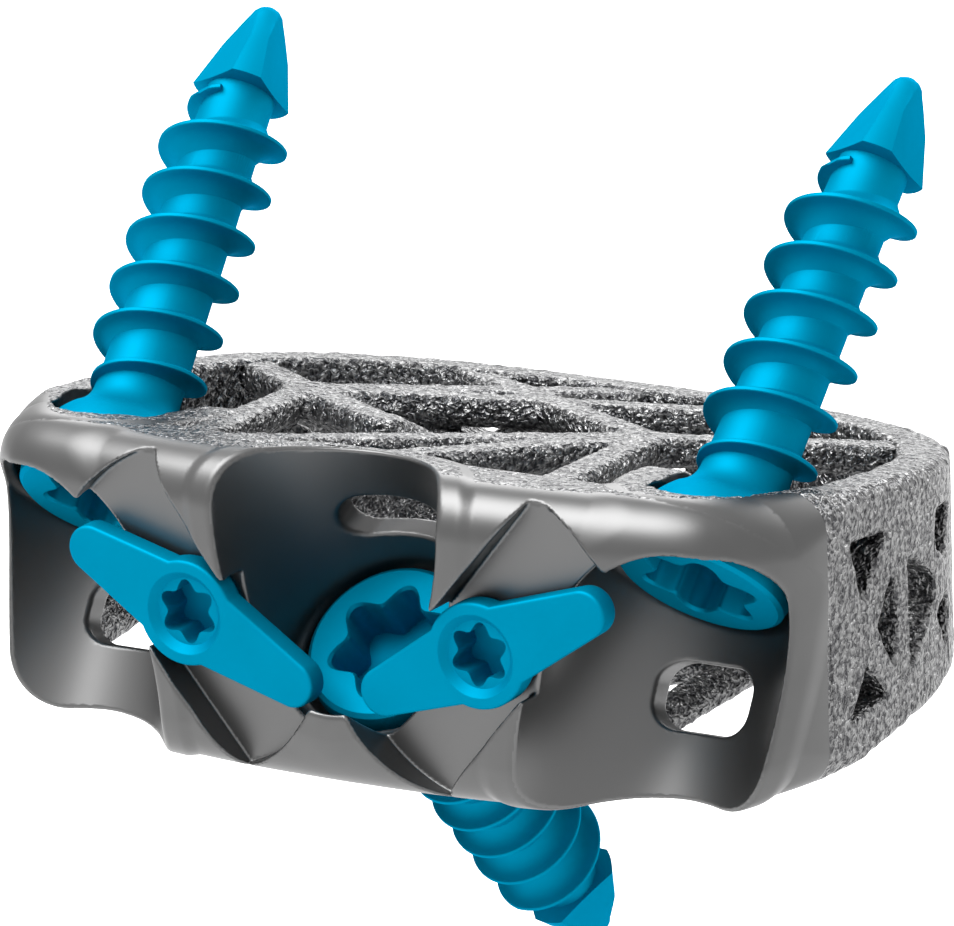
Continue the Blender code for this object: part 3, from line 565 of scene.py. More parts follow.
def skin(values, low, cell):
    """Points and quads of the surface, one point in each cell that the surface crosses."""
    inside = values < 0
    shape = np.array(values.shape) - 1
    total = np.zeros(shape, np.int8)
    offsets = [(i, j, k) for i in (0, 1) for j in (0, 1) for k in (0, 1)]
    for i, j, k in offsets:
        total += inside[i:i + shape[0], j:j + shape[1], k:k + shape[2]]
    cells = np.argwhere((total > 0) & (total < 8))
    index = np.full(shape, -1, np.int32)
    index[tuple(cells.T)] = np.arange(len(cells))
    summed, count = np.zeros((len(cells), 3)), np.zeros(len(cells))
    for corner in offsets:
        for axis in range(3):
            if corner[axis]:
                continue
            near = values[tuple((cells + corner).T)]
            far = values[tuple((cells + corner + np.eye(3, dtype=int)[axis]).T)]
            crossed = (near < 0) != (far < 0)
            point = np.tile(np.array(corner, float), (len(cells), 1))
            point[:, axis] = near / np.where(crossed, near - far, 1)
            summed[crossed] += point[crossed]
            count[crossed] += 1
    points = low + (cells + summed / count[:, None]) * cell
    quads = []
    for axis in range(3):
        near, far = [slice(1, -1)] * 3, [slice(1, -1)] * 3
        near[axis], far[axis] = slice(0, -1), slice(1, None)
        here = inside[tuple(near)]
        place = np.argwhere(here != inside[tuple(far)])
        leaves = here[tuple(place.T)]
        u, v = np.eye(3, dtype=int)[[n for n in range(3) if n != axis]]
        corner = place + u + v
        round_edge = ((0, 0), (1, 0), (1, 1), (0, 1))
        ring = np.stack([index[tuple((corner - i * u - j * v).T)] for i, j in round_edge], 1)
        turned_over = ~leaves if axis != 1 else leaves
        ring[turned_over] = ring[turned_over][:, ::-1]
        quads.append(ring)
    return points, np.concatenate(quads)


def to_row(points):
    """Millimetres from the lock plane to metres in the row frame."""
    return (np.asarray(points, float) - (0.0, BODY_MID_Y, 0.0)) * MM


def mesh_object(name, points, faces, material):
    mesh = bpy.data.meshes.new(name)
    mesh.from_pydata(points.tolist(), [], faces.tolist() if hasattr(faces, "tolist") else faces)
    mesh.materials.append(material)
    obj = bpy.data.objects.new(name, mesh)
    bpy.context.scene.collection.objects.link(obj)
    return obj


def apply_modifiers(obj):
    """Replaces the mesh by what the modifiers make of it, at the object's own place."""
    graph = bpy.context.evaluated_depsgraph_get()
    mesh = bpy.data.meshes.new_from_object(obj.evaluated_get(graph), depsgraph=graph)
    obj.modifiers.clear()
    mesh.transform(obj.matrix_world)
    old, obj.data = obj.data, mesh
    obj.matrix_world = Matrix.Identity(4)
    bpy.data.meshes.remove(old)
    return obj


def thin_out(obj, triangles):
    """Collapses the flattest faces until about that many triangles are left."""
    have = sum(len(p.vertices) - 2 for p in obj.data.polygons)
    if have > triangles:
        modifier = obj.modifiers.new("thin out", "DECIMATE")
        modifier.ratio = triangles / have
        apply_modifiers(obj)


def mesh_points(obj):
    points = np.empty(len(obj.data.vertices) * 3, np.float32)
    obj.data.vertices.foreach_get("co", points)
    return points.reshape(-1, 3) / MM + (0.0, BODY_MID_Y, 0.0)


def back_truss_windows():
    """Convex triangles along the back wall, with the wall's place and direction for each."""
    angles = np.linspace(0.02, math.pi - 0.02, 400)
    power = BACK_SQUARENESS
    width, depth = HALF_WIDTH - RIM / 2, BACK_Y - WAIST_Y - RIM / 2
    cos, sin = np.cos(angles), np.sin(angles)
    x = width * np.sign(cos) * np.abs(cos) ** (2 / power)
    y = WAIST_Y + depth * sin ** (2 / power)
    keep = y > TRUSS_START_Y
    x, y = x[keep], y[keep]
    reach = np.concatenate(([0], np.cumsum(np.hypot(np.diff(x), np.diff(y)))))
    cell = reach[-1] / TRUSS_CELLS
    for i in range(TRUSS_CELLS):
        middle = cell * (i + 0.5)
        px, py = np.interp(middle, reach, x), np.interp(middle, reach, y)
        qx, qy = np.interp(middle + 0.3, reach, x), np.interp(middle + 0.3, reach, y)
        tangent = unit((qx - px, qy - py))
        tall = FRONT_HALF_HEIGHT - py * math.tan(LORDOSIS) - TRUSS_CAP
        wide = cell / 2 - TRUSS_BAR / 2
        gap = TRUSS_BAR / 2 * math.hypot(wide, tall)
        apex_z, apex_x = gap / wide, gap / tall
        base_x, base_z = wide * (1 - apex_z / tall), tall * (1 - apex_x / wide)
        for triangle in (
            ((-base_x, tall), (base_x, tall), (0, apex_z)),
            ((base_x, -tall), (-base_x, -tall), (0, -apex_z)),
            ((wide, base_z), (wide, -base_z), (apex_x, 0)),
            ((-wide, -base_z), (-wide, base_z), (-apex_x, 0)),
        ):
            yield (px, py), tangent, polygon(triangle, TRUSS_CORNER)


def near_box(centre, reach):
    return np.asarray(centre, float) - reach, np.asarray(centre, float) + reach


def pocket_walls(x, y, z):
    """Shells of the screw pockets, seat bosses and lock posts that stand in the chamber."""
    walls = 99.0
    for head, direction in screw_axes().values():
        for shape in (
            pocket(head, direction, SHELL, POCKET_START + SHELL),
            rod(head, direction, SEAT_BOSS_RADIUS, 0.0, SEAT_BOSS_LENGTH, SEAT_BOSS_EDGE),
        ):
            walls = np.minimum(walls, shape(x, y, z))
    for sign in (-1, 1):
        start = (sign * LOCK_X, 0, 0)
        post = rod(start, (0, 1, 0), POST_RADIUS, LOCK_THICKNESS, POST_END, POST_EDGE)
        walls = np.minimum(walls, post(x, y, z))
    return rounded_and(walls, blank(x, y, z), WALL_EDGE)


def cage_solid():
    """The cage's blank with every join and cut, and the machined shapes among the cuts."""
    solid = Solid(blank)

    def chamber(x, y, z):
        return rounded_and(footprint(x, y, RIM), FRONT_WALL - y, CHAMBER_CORNER) + 0 * z

    solid.cut(chamber, CHAMBER_EDGE)
    low, high = (-SIDE_X, AHEAD_Y, -PAST_Z), (SIDE_X, WALLS_END_Y, PAST_Z)
    solid.join(pocket_walls, WALL_FILLET, low, high)
    machined = []

    def machine(shape, edge, low, high):
        machined.append((shape, low, high))
        solid.cut(shape, edge, low, high)

    for head, direction in screw_axes().values():
        left, right = head[0] - POCKET_REACH, head[0] + POCKET_REACH
        low = (left, AHEAD_Y, -PAST_Z)
        machine(pocket(head, direction), POCKET_EDGE, low, (right, POCKETS_END_Y, PAST_Z))
        machine(seat(head, direction), SEAT_EDGE, low, (right, BORES_END_Y, PAST_Z))
    for sign in (-1, 1):
        start = (sign * LOCK_X, 0, 0)
        low = (sign * LOCK_X - SWEEP_REACH, AHEAD_Y, -PAST_Z)
        high = (sign * LOCK_X + SWEEP_REACH, POST_END + 2.5, PAST_Z)
        machine(lock_sweep(sign), SWEEP_EDGE, low, high)
        low, high = near_box((sign * LOCK_X, SHAFT_BOX_Y, 0), SHAFT_BOX_REACH)
        for radius, first, last in (
            (BOSS_HOLE_RADIUS, -0.5, LOCK_FLOOR + 1.2),
            (SHAFT_HOLE_RADIUS, 0.0, POST_END + 2.0),
        ):
            machine(rod(start, (0, 1, 0), radius, first, last, 0.05), HOLE_EDGE, low, high)
    for centre, width, height, tilt in POCKET_WINDOWS:
        machine(window(centre, width, height, tilt), WINDOW_EDGE, *near_box(centre, WINDOW_REACH))
    for outline in SIDE_WINDOWS:
        shape = polygon(outline, SIDE_WINDOW_CORNER)
        ys, zs = [p[0] for p in outline], [p[1] for p in outline]
        for sign in (-1, 1):
            xs = [sign * x for x in SIDE_WALL_X]
            low = (min(xs), min(ys) - 1, min(zs) - 1)
            high = (max(xs), max(ys) + 1, max(zs) + 1)
            solid.cut(lambda x, y, z, shape=shape: shape(y, z) + 0 * x, TRUSS_EDGE, low, high)
    for (px, py), tangent, shape in back_truss_windows():

        def through(x, y, z, px=px, py=py, tangent=tangent, shape=shape):
            u = (x - px) * tangent[0] + (y - py) * tangent[1]
            w = (x - px) * tangent[1] - (y - py) * tangent[0]
            return np.maximum(shape(u, z), np.abs(w) - RIM)

        solid.cut(through, TRUSS_EDGE, *near_box((px, py, 0), TRUSS_REACH))
    return solid, machined


def set_points(obj, points):
    obj.data.vertices.foreach_set("co", to_row(points).astype(np.float32).ravel())
    obj.data.update()


def store(obj, name, value):
    attribute = obj.data.attributes.new(name, "FLOAT", "POINT")
    attribute.data.foreach_set("value", np.asarray(value, np.float32))


def sintered_lumps(points, seed):
    """Uneven melting of the powder: lumps of a few grains."""
    offset = Vector((seed, seed * 0.7, -seed))
    lumps = [noise.noise(Vector(p) / LUMP + offset) for p in points]
    return np.array(lumps) * LUMP_HEIGHT


def cage_body(material):
    """Front wall, side and back walls, pocket shells, seats and every cut in them."""
    solid, machined = cage_solid()
    cell = CELL
    points, quads = skin(solid.grid(SCAN_LOW, SCAN_HIGH, cell), SCAN_LOW, cell)
    points, _ = solid.settle(points, cell / 2)
    obj = mesh_object("cage_body_finish", to_row(points), quads, material)
    thin_out(obj, CAGE_TRIANGLES)
    points, normals = solid.settle(mesh_points(obj), SETTLE_REACH)
    x, y, z = points.T
    cut = np.zeros(len(points), bool)
    for shape, near, far in machined:
        in_box = ((points > near) & (points < far)).all(1)
        inside = np.flatnonzero(in_box & (y < POCKETS_END_Y))
        cut[inside] |= np.abs(shape(*points[inside].T)) < ON_CUT
    face = np.stack((0 * x, 0 * x + math.sin(LORDOSIS), np.sign(z) * math.cos(LORDOSIS)), 1)
    on_face = (normals * face).sum(1) > ON_FACE_COSINE
    outside = (blank(x, y, z) > -ON_SKIN) & ~on_face & (y < SKIN_END_Y)
    store(obj, "machined_cut", cut)
    store(obj, "front_skin", outside)
    rough = ~cut & ~(outside & (y < MACHINED_END_Y))
    lift = sintered_lumps(points, 3.0) * rough
    set_points(obj, points + normals * lift[:, None])
    shade_smooth(obj)
    obj.data.normals_split_custom_set_from_vertices(normals.astype(np.float32))
    return obj


def lattice_tree(material):
    """Bars swept along the lattice's lines, fused at knots, cut by the end faces, then grainy."""
    tree = bpy.data.node_groups.new("printed_lattice", "GeometryNodeTree")
    face = tree.interface
    face.new_socket("Lines", in_out="INPUT", socket_type="NodeSocketGeometry")
    for name, value in (
        ("Bar radius", BAR_RADIUS * MM),
        ("Knob radius", KNOB * MM),
        ("Voxel", 0.16 * MM),
        ("Grain size", 0.34 * MM),
        ("Grain height", 0.16 * MM),
        ("Face height", (FRONT_HALF_HEIGHT - 0.1 - BODY_MID_Y * math.tan(LORDOSIS)) * MM),
        ("Face slope", math.tan(LORDOSIS)),
        ("Face edge", 0.25 * MM),
    ):
        socket = face.new_socket(name, in_out="INPUT", socket_type="NodeSocketFloat")
        socket.default_value = value
    face.new_socket("Lattice", in_out="OUTPUT", socket_type="NodeSocketGeometry")
    given = add_node(tree, "NodeGroupInput").outputs
    curve = add_node(tree, "GeometryNodeMeshToCurve", {"Mesh": given["Lines"]}).outputs["Curve"]
    ring = add_node(
        tree, "GeometryNodeCurvePrimitiveCircle", {"Resolution": 12, "Radius": given["Bar radius"]},
    ).outputs["Curve"]
    bars = add_node(
        tree, "GeometryNodeCurveToMesh", {"Curve": curve, "Profile Curve": ring, "Fill Caps": True},
    ).outputs["Mesh"]
    ball = add_node(
        tree, "GeometryNodeMeshIcoSphere", {"Radius": given["Bar radius"], "Subdivisions": 3},
    ).outputs["Mesh"]
    size = add_node(
        tree, "ShaderNodeMath", {0: given["Knob radius"], 1: given["Bar radius"]},
        operation="DIVIDE",
    ).outputs[0]
    chosen = add_node(tree, "GeometryNodeInputNamedAttribute", {"Name": "knob"})
    grown = add_node(
        tree, "ShaderNodeMapRange",
        {"Value": chosen.outputs["Attribute"], "To Min": 1.0, "To Max": size},
    ).outputs["Result"]
    knobs = add_node(
        tree, "GeometryNodeInstanceOnPoints",
        {"Points": given["Lines"], "Instance": ball, "Scale": grown},
    ).outputs["Instances"]
    knobs = add_node(tree, "GeometryNodeRealizeInstances", {"Geometry": knobs}).outputs["Geometry"]
    both = add_node(tree, "GeometryNodeJoinGeometry", {"Geometry": knobs})
    tree.links.new(bars, both.inputs["Geometry"])
    volume = add_node(
        tree, "GeometryNodeMeshToVolume",
        {"Mesh": both.outputs["Geometry"], "Voxel Size": given["Voxel"],
         "Interior Band Width": 0.4 * MM},
        resolution_mode="VOXEL_SIZE",
    ).outputs["Volume"]
    fused = add_node(
        tree, "GeometryNodeVolumeToMesh", {"Volume": volume, "Voxel Size": given["Voxel"]},
        resolution_mode="VOXEL_SIZE",
    ).outputs["Mesh"]
    place = add_node(tree, "GeometryNodeInputPosition").outputs["Position"]
    calm = add_node(
        tree, "GeometryNodeBlurAttribute", {"Value": place, "Iterations": 4},
        data_type="FLOAT_VECTOR",
    ).outputs["Value"]
    fused = add_node(
        tree, "GeometryNodeSetPosition", {"Geometry": fused, "Position": calm}
    ).outputs["Geometry"]
    # The end faces were cut flat, so bars that reach past them stop there
    parts = add_node(tree, "ShaderNodeSeparateXYZ", {"Vector": place}).outputs
    fall = add_node(
        tree, "ShaderNodeMath", {0: parts["Y"], 1: given["Face slope"]}, operation="MULTIPLY"
    ).outputs[0]
    top = add_node(
        tree, "ShaderNodeMath", {0: given["Face height"], 1: fall}, operation="SUBTRACT"
    ).outputs[0]
    bottom = add_node(tree, "ShaderNodeMath", {0: top, 1: -1.0}, operation="MULTIPLY").outputs[0]
    level = parts["Z"]
    for limit, operation in ((top, "SMOOTH_MIN"), (bottom, "SMOOTH_MAX")):
        level = add_node(
            tree, "ShaderNodeMath", {0: level, 1: limit, 2: given["Face edge"]},
            operation=operation,
        ).outputs[0]
    flat = add_node(
        tree, "ShaderNodeCombineXYZ", {"X": parts["X"], "Y": parts["Y"], "Z": level}
    ).outputs["Vector"]
    fused = add_node(
        tree, "GeometryNodeSetPosition", {"Geometry": fused, "Position": flat}
    ).outputs["Geometry"]
    fineness = add_node(
        tree, "ShaderNodeMath", {0: 1.0, 1: given["Grain size"]}, operation="DIVIDE"
    ).outputs[0]
    grain = add_node(
        tree, "ShaderNodeTexNoise", {"Vector": place, "Scale": fineness, "Detail": 1.0}
    ).outputs["Fac"]
    centred = add_node(
        tree, "ShaderNodeMath", {0: grain, 1: 0.55}, operation="SUBTRACT"
    ).outputs[0]
    lift = add_node(
        tree, "ShaderNodeMath", {0: centred, 1: given["Grain height"]}, operation="MULTIPLY"
    ).outputs[0]
    normal = add_node(tree, "GeometryNodeInputNormal").outputs["Normal"]
    offset = add_node(
        tree, "ShaderNodeVectorMath", {0: normal, "Scale": lift}, operation="SCALE"
    ).outputs["Vector"]
    grainy = add_node(
        tree, "GeometryNodeSetPosition", {"Geometry": fused, "Offset": offset}
    ).outputs["Geometry"]
    whole = add_node(
        tree, "GeometryNodeRealizeInstances", {"Geometry": grainy}
    ).outputs["Geometry"]
    done = add_node(
        tree, "GeometryNodeSetMaterial", {"Geometry": whole, "Material": material}
    ).outputs["Geometry"]
    tree.links.new(done, add_node(tree, "NodeGroupOutput").inputs["Lattice"])
    return tree


def run_nodes(obj, tree):
    """Runs a Geometry Nodes tree with its named sizes and keeps the plain mesh."""
    modifier = obj.modifiers.new(tree.name, "NODES")
    modifier.node_group = tree
    for socket in tree.interface.items_tree:
        if socket.in_out == "INPUT" and socket.socket_type != "NodeSocketGeometry":
            modifier[socket.identifier] = socket.default_value
    return apply_modifiers(obj)


def lattice(material):
    """Bars of the graft chamber, kept out of the screw pockets and bores."""
    points, edges, knobs = [], [], []

    def bar(first, second, levels):
        for name, level in zip((first, second), levels):
            x, y = LATTICE_NODES[name]
            z = FRONT_HALF_HEIGHT - y * math.tan(LORDOSIS) - BAR_DEPTH
            points.append((x * level, y, z * level))
            knobs.append(1.0 if name.startswith("apex") else 0.0)
        edges.append((len(points) - 2, len(points) - 1))

    for level in (1, -1):
        for first, second in LATTICE_FLAT:
            bar(first, second, (level, level))
    for first, second in LATTICE_RISING:
        bar(first, second, (1, -1))
    mesh = bpy.data.meshes.new("lattice_finish")
    mesh.from_pydata(to_row(points).tolist(), edges, [])
    obj = bpy.data.objects.new("lattice_finish", mesh)
    bpy.context.scene.collection.objects.link(obj)
    store(obj, "knob", knobs)
    run_nodes(obj, lattice_tree(material))
    thin_out(obj, LATTICE_TRIANGLES)
    p = mesh_points(obj)
    step = 0.01
    for head, direction in screw_axes().values():
        for shape in (pocket(head, direction), seat(head, direction)):
            near = np.flatnonzero((p[:, 1] < BORES_END_Y) & (shape(*p.T) < LATTICE_GAP))
            for _ in range(3):
                close = p[near]
                value = shape(*close.T)
                ahead = [shape(*(close + step * axis).T) - value for axis in np.eye(3)]
                slope = np.stack(ahead, 1) / step
                steep = np.maximum((slope**2).sum(1), 0.2)
                push = np.maximum(LATTICE_GAP - value, 0) / steep
                p[near] = close + slope * push[:, None]
    set_points(obj, p)
    shade_smooth(obj)
    return obj


def shade_smooth(obj, angle=None):
    values = np.ones(len(obj.data.polygons), bool)
    obj.data.polygons.foreach_set("use_smooth", values)
    if angle:
        obj.data.set_sharp_from_angle(angle=math.radians(angle))
    obj.data.update()


def turned(name, profile, steps, material):
    """Turned solid about Z from (radius, height) points that start and end on the axis."""
    mesh = bpy.data.meshes.new(name)
    edges = [(i, i + 1) for i in range(len(profile) - 1)]
    mesh.from_pydata([(r, 0, z) for r, z in profile], edges, [])
    mesh.materials.append(material)
    obj = bpy.data.objects.new(name, mesh)
    bpy.context.scene.collection.objects.link(obj)
    turn = obj.modifiers.new("turn", "SCREW")
    turn.steps = turn.render_steps = steps
    turn.use_merge_vertices = True
    turn.merge_threshold = 1e-6
    return outward(apply_modifiers(obj))


def outward(obj):
    """Merges doubles and makes every face point outwards."""
    bm = bmesh.new()
    bm.from_mesh(obj.data)
    bmesh.ops.remove_doubles(bm, verts=bm.verts, dist=1e-7)
    bmesh.ops.recalc_face_normals(bm, faces=bm.faces)
    bm.to_mesh(obj.data)
    bm.free()
    return obj


def thread_tree(material):
    """The thread's section swept along its helix, sinking into the core at both ends."""
    tree = bpy.data.node_groups.new("bone_thread", "GeometryNodeTree")
    face = tree.interface
    face.new_socket("Section", in_out="INPUT", socket_type="NodeSocketGeometry")
    for name, value in (
        ("Crest radius", THREAD_RADIUS),
        ("Turns", (THREAD_END - THREAD_START) / PITCH),
        ("Length", THREAD_END - THREAD_START),
        ("Lead in", 0.55),
        ("Sink", 0.85),
    ):
        socket = face.new_socket(name, in_out="INPUT", socket_type="NodeSocketFloat")
        socket.default_value = value
    face.new_socket("Thread", in_out="OUTPUT", socket_type="NodeSocketGeometry")
    given = add_node(tree, "NodeGroupInput").outputs
    helix = add_node(
        tree, "GeometryNodeCurveSpiral",
        {"Resolution": 64, "Rotations": given["Turns"], "Start Radius": given["Crest radius"],
         "End Radius": given["Crest radius"], "Height": given["Length"], "Reverse": True},
    ).outputs["Curve"]
    part = add_node(tree, "GeometryNodeSplineParameter").outputs["Factor"]
    turn = add_node(
        tree, "ShaderNodeMath", {0: part, 1: given["Turns"]}, operation="MULTIPLY"
    ).outputs[0]
    left = add_node(
        tree, "ShaderNodeMath", {0: given["Turns"], 1: turn}, operation="SUBTRACT"
    ).outputs[0]
    start_fade, end_fade = (
        add_node(
            tree, "ShaderNodeMapRange",
            {"Value": value, "From Max": given["Lead in"], "To Min": given["Sink"], "To Max": 0.0},
        ).outputs["Result"]
        for value in (turn, left)
    )
    place = add_node(tree, "GeometryNodeInputPosition").outputs["Position"]
    level = add_node(
        tree, "ShaderNodeVectorMath", {0: place, 1: (1.0, 1.0, 0.0)}, operation="MULTIPLY"
    ).outputs["Vector"]
    outward_way = add_node(
        tree, "ShaderNodeVectorMath", {0: level}, operation="NORMALIZE"
    ).outputs["Vector"]
    sunk = add_node(
        tree, "ShaderNodeMath", {0: start_fade, 1: end_fade}, operation="ADD"
    ).outputs[0]
    depth = add_node(tree, "ShaderNodeMath", {0: sunk, 1: -1.0}, operation="MULTIPLY").outputs[0]
    offset = add_node(
        tree, "ShaderNodeVectorMath", {0: outward_way, "Scale": depth}, operation="SCALE"
    ).outputs["Vector"]
    helix = add_node(
        tree, "GeometryNodeSetPosition", {"Geometry": helix, "Offset": offset}
    ).outputs["Geometry"]
    helix = add_node(
        tree, "GeometryNodeSetCurveNormal", {"Curve": helix}, mode="Z_UP"
    ).outputs["Curve"]
    section = add_node(
        tree, "GeometryNodeMeshToCurve", {"Mesh": given["Section"]}
    ).outputs["Curve"]
    ridge = add_node(
        tree, "GeometryNodeCurveToMesh",
        {"Curve": helix, "Profile Curve": section, "Fill Caps": True},
    ).outputs["Mesh"]
    whole = add_node(
        tree, "GeometryNodeRealizeInstances", {"Geometry": ridge}
    ).outputs["Geometry"]
    done = add_node(
        tree, "GeometryNodeSetMaterial", {"Geometry": whole, "Material": material}
    ).outputs["Geometry"]
    tree.links.new(done, add_node(tree, "NodeGroupOutput").inputs["Thread"])
    return tree


def thread_ridge(material):
    """The thread: a thin crest on hollow flanks that widen into the core."""
    flank = [(0.0, CREST_HALF - CREST_CHAMFER), (CREST_CHAMFER, CREST_HALF)]
    low, rise = CREST_HALF + CREST_STEP, THREAD_FOOT - CREST_HALF - CREST_STEP
    for k in range(1, 9):
        share = k / 8
        flank.append((THREAD_DEPTH * share, low + rise * share**THREAD_HOLLOW))
    flank.append((THREAD_DEPTH + THREAD_OVERLAP, THREAD_FOOT))
    outline = [(-inward, -half) for inward, half in flank]
    outline += [(-inward, half) for inward, half in reversed(flank)]
    mesh = bpy.data.meshes.new("thread")
    count = len(outline)
    edges = [(i, (i + 1) % count) for i in range(count)]
    mesh.from_pydata([(x, y, 0) for x, y in outline], edges, [])
    obj = bpy.data.objects.new("thread", mesh)
    bpy.context.scene.collection.objects.link(obj)
    run_nodes(obj, thread_tree(material))
    turn = Matrix.Rotation(THREAD_PHASE, 4, "Z")
    obj.data.transform(Matrix.Translation((0, 0, THREAD_START)) @ turn)
    return outward(obj)


def prism(name, outline, levels, material):
    """Closed prism through (height, scale) levels of one outline."""
    points = [(x * s, y * s, z) for z, s in levels for x, y in outline]
    n = len(outline)
    faces = [tuple(range(n)), tuple(range(n * (len(levels) - 1), n * len(levels)))]
    for i in range(len(levels) - 1):
        for j in range(n):
            k = (j + 1) % n
            faces.append((i * n + j, i * n + k, (i + 1) * n + k, (i + 1) * n + j))
    return outward(mesh_object(name, np.array(points), faces, material))


def hexalobe(radius):
    """Six-lobed driver recess."""
    steps, depth = 96, 0.14
    angles = np.arange(steps) * math.tau / steps
    reach = radius * (1 - depth + depth * np.cos(6 * angles))
    return [(r * math.cos(a), r * math.sin(a)) for r, a in zip(reach, angles)]


def facet(number, material):
    """Block that grinds one flat face of the point."""
    end = SCREW_LENGTH + 2
    slope = (FACET_TIP_DEPTH - FACET_START_DEPTH) / (SCREW_LENGTH - FACET_START)
    far, half = 5.0, 4.0
    section = (
        (FACET_START_DEPTH, FACET_START), (far, FACET_START), (far, end),
        (FACET_START_DEPTH + slope * (end - FACET_START), end),
    )
    points = np.array([(x, y, z) for y in (-half, half) for x, z in section])
    faces = [(0, 1, 2, 3), (7, 6, 5, 4)]
    faces += [(j, j + 4, (j + 1) % 4 + 4, (j + 1) % 4) for j in range(4)]
    block = outward(mesh_object("facet", points, faces, material))
    block.data.transform(Matrix.Rotation(FACET_TURN + math.tau * number / 3, 4, "Z"))
    return block


def combine(obj, tools):
    """Joins or cuts with each tool in turn, then throws the tools away."""
    for tool, operation in tools:
        modifier = obj.modifiers.new(operation, "BOOLEAN")
        modifier.operation = operation
        modifier.solver = "EXACT"
        modifier.object = tool
    apply_modifiers(obj)
    for tool, _ in tools:
        bpy.data.objects.remove(tool, do_unlink=True)
    return obj


def screw_shape(material):
    """One bone screw about Z, its head's open face at zero."""
    start = math.pi - math.acos(HEAD_CENTRE / HEAD_RADIUS)
    end = math.asin(NECK_RADIUS / HEAD_RADIUS)
    outer = [(0.0, 0.0), (HEAD_RADIUS * math.sin(start) - HEAD_CHAMFER, 0.0)]
    for i in range(17):
        angle = start - HEAD_CHAMFER_ANGLE + (end - start + HEAD_CHAMFER_ANGLE) * i / 16
        outer.append((HEAD_RADIUS * math.sin(angle), HEAD_CENTRE + HEAD_RADIUS * math.cos(angle)))
    edge = outer[-1][1]
    # Hollow neck below the ball, as the thread's run-out leaves it
    for i in range(1, 9):
        share = i / 8
        radius = CORE_HEAD + (NECK_RADIUS - CORE_HEAD) * (1 - share) ** NECK_HOLLOW
        outer.append((radius, edge + NECK_LENGTH * share))
    outer += [
        (CORE_POINT, SHOULDER - SHOULDER_RISE),
        (SHOULDER_RADIUS, SHOULDER),
        (WAIST_RADIUS, WAIST),
    ]
    nose = SCREW_LENGTH - POINT_RADIUS
    for degrees in (12, 30, 50, 70):
        angle = math.radians(degrees)
        outer.append((POINT_RADIUS * math.cos(angle), nose + POINT_RADIUS * math.sin(angle)))
    outer.append((0.0, SCREW_LENGTH))
    body = turned("screw", outer[::-1], 72, material)
    levels = ((-1.0, 1.12), (-0.02, 1.06), (0.12, 1.0), (RECESS_DEPTH, 1.0))
    recess = prism("recess", hexalobe(RECESS_RADIUS), levels, material)
    tools = [(thread_ridge(material), "UNION")]
    tools += [(facet(number, material), "DIFFERENCE") for number in range(3)]
    tools.append((recess, "DIFFERENCE"))
    return combine(body, tools)


def screws(material):
    """The three screws, one shape laid on its three axes."""
    shape = screw_shape(material)
    for side, (head, direction) in screw_axes().items():
        z = Vector(direction)
        x = Vector((z.y, -z.x, 0)).normalized()
        axes = Matrix((x, z.cross(x), z)).transposed().to_4x4()
        spin = Matrix.Rotation(CENTRAL_SPIN if side == "center" else 0.0, 4, "Z")
        place = Matrix.Translation(Vector(to_row(head))) @ axes @ spin @ Matrix.Scale(MM, 4)
        obj = bpy.data.objects.new(f"screw_{side}_finish", shape.data.copy())
        bpy.context.scene.collection.objects.link(obj)
        obj.data.transform(place)
        shade_smooth(obj, 34)
        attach(obj, "cage")
        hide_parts(f"screw_{side}")
    bpy.data.objects.remove(shape, do_unlink=True)


def lock_outline():
    """Two opposite tapered lobes on a round hub, the long one along +X."""
    points = []
    steps = 14
    join = math.acos(LOCK_ROOT / LOCK_HUB)
    reaches = (LOCK_LONG, LOCK_SHORT)
    halves = [math.pi / 2 - math.asin((LOCK_ROOT - LOCK_TIP) / reach) for reach in reaches]
    for i, reach in enumerate(reaches):
        base, half = math.pi * i, halves[i]
        for j in range(2 * steps + 1):
            angle = base - half + half * j / steps
            points.append(
                (reach * math.cos(base) + LOCK_TIP * math.cos(angle), LOCK_TIP * math.sin(angle))
            )
        low, high = base + half - join, base + math.pi - halves[1 - i] + join
        for j in range(steps + 1):
            angle = low + (high - low) * j / steps
            points.append((LOCK_HUB * math.cos(angle), LOCK_HUB * math.sin(angle)))
    return points


def locks(material):
    """Both rotary locks: bevelled plate, shaft, countersink and driver recess."""
    flip = Matrix(((1, 0, 0, 0), (0, 0, 1, 0), (0, 1, 0, 0), (0, 0, 0, 1)))
    for side, sign in (("left", -1), ("right", 1)):
        plate = prism("plate", lock_outline(), ((0, 1), (LOCK_THICKNESS, 1)), material)
        bevel = plate.modifiers.new("edge", "BEVEL")
        bevel.width = LOCK_EDGE
        bevel.segments = 3
        bevel.limit_method = "ANGLE"
        bevel.angle_limit = math.radians(50)
        apply_modifiers(plate)
        circle = [(math.cos(a), math.sin(a)) for a in np.arange(48) * math.tau / 48]
        tools = []
        for name, outline, levels, operation in (
            ("boss", circle, ((BOSS_START, BOSS_RADIUS), (BOSS_END, BOSS_RADIUS)), "UNION"),
            ("shaft", circle, ((SHAFT_START, SHAFT_RADIUS), (SHAFT_END, SHAFT_RADIUS)), "UNION"),
            ("sink", circle, ((-SINK_DEPTH, SINK_WIDE), (SINK_DEPTH, SINK_NARROW)), "DIFFERENCE"),
            ("recess", hexalobe(DRIVER_RADIUS), ((-1.0, 1), (DRIVER_DEPTH, 1)), "DIFFERENCE"),
        ):
            tools.append((prism(name, outline, levels, material), operation))
        combine(plate, tools)
        place = (
            Matrix.Translation(Vector(to_row((sign * LOCK_X, 0, 0))))
            @ Matrix.Rotation(-sign * LOCKED, 4, "Y")
            @ flip
            @ Matrix.Scale(MM, 4)
        )
        plate.data.transform(place)
        outward(plate)
        plate.name = f"lock_blade_{side}_finish"
        shade_smooth(plate, 32)
        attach(plate, f"lock_{side}")
        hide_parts(f"lock_blade_{side}")


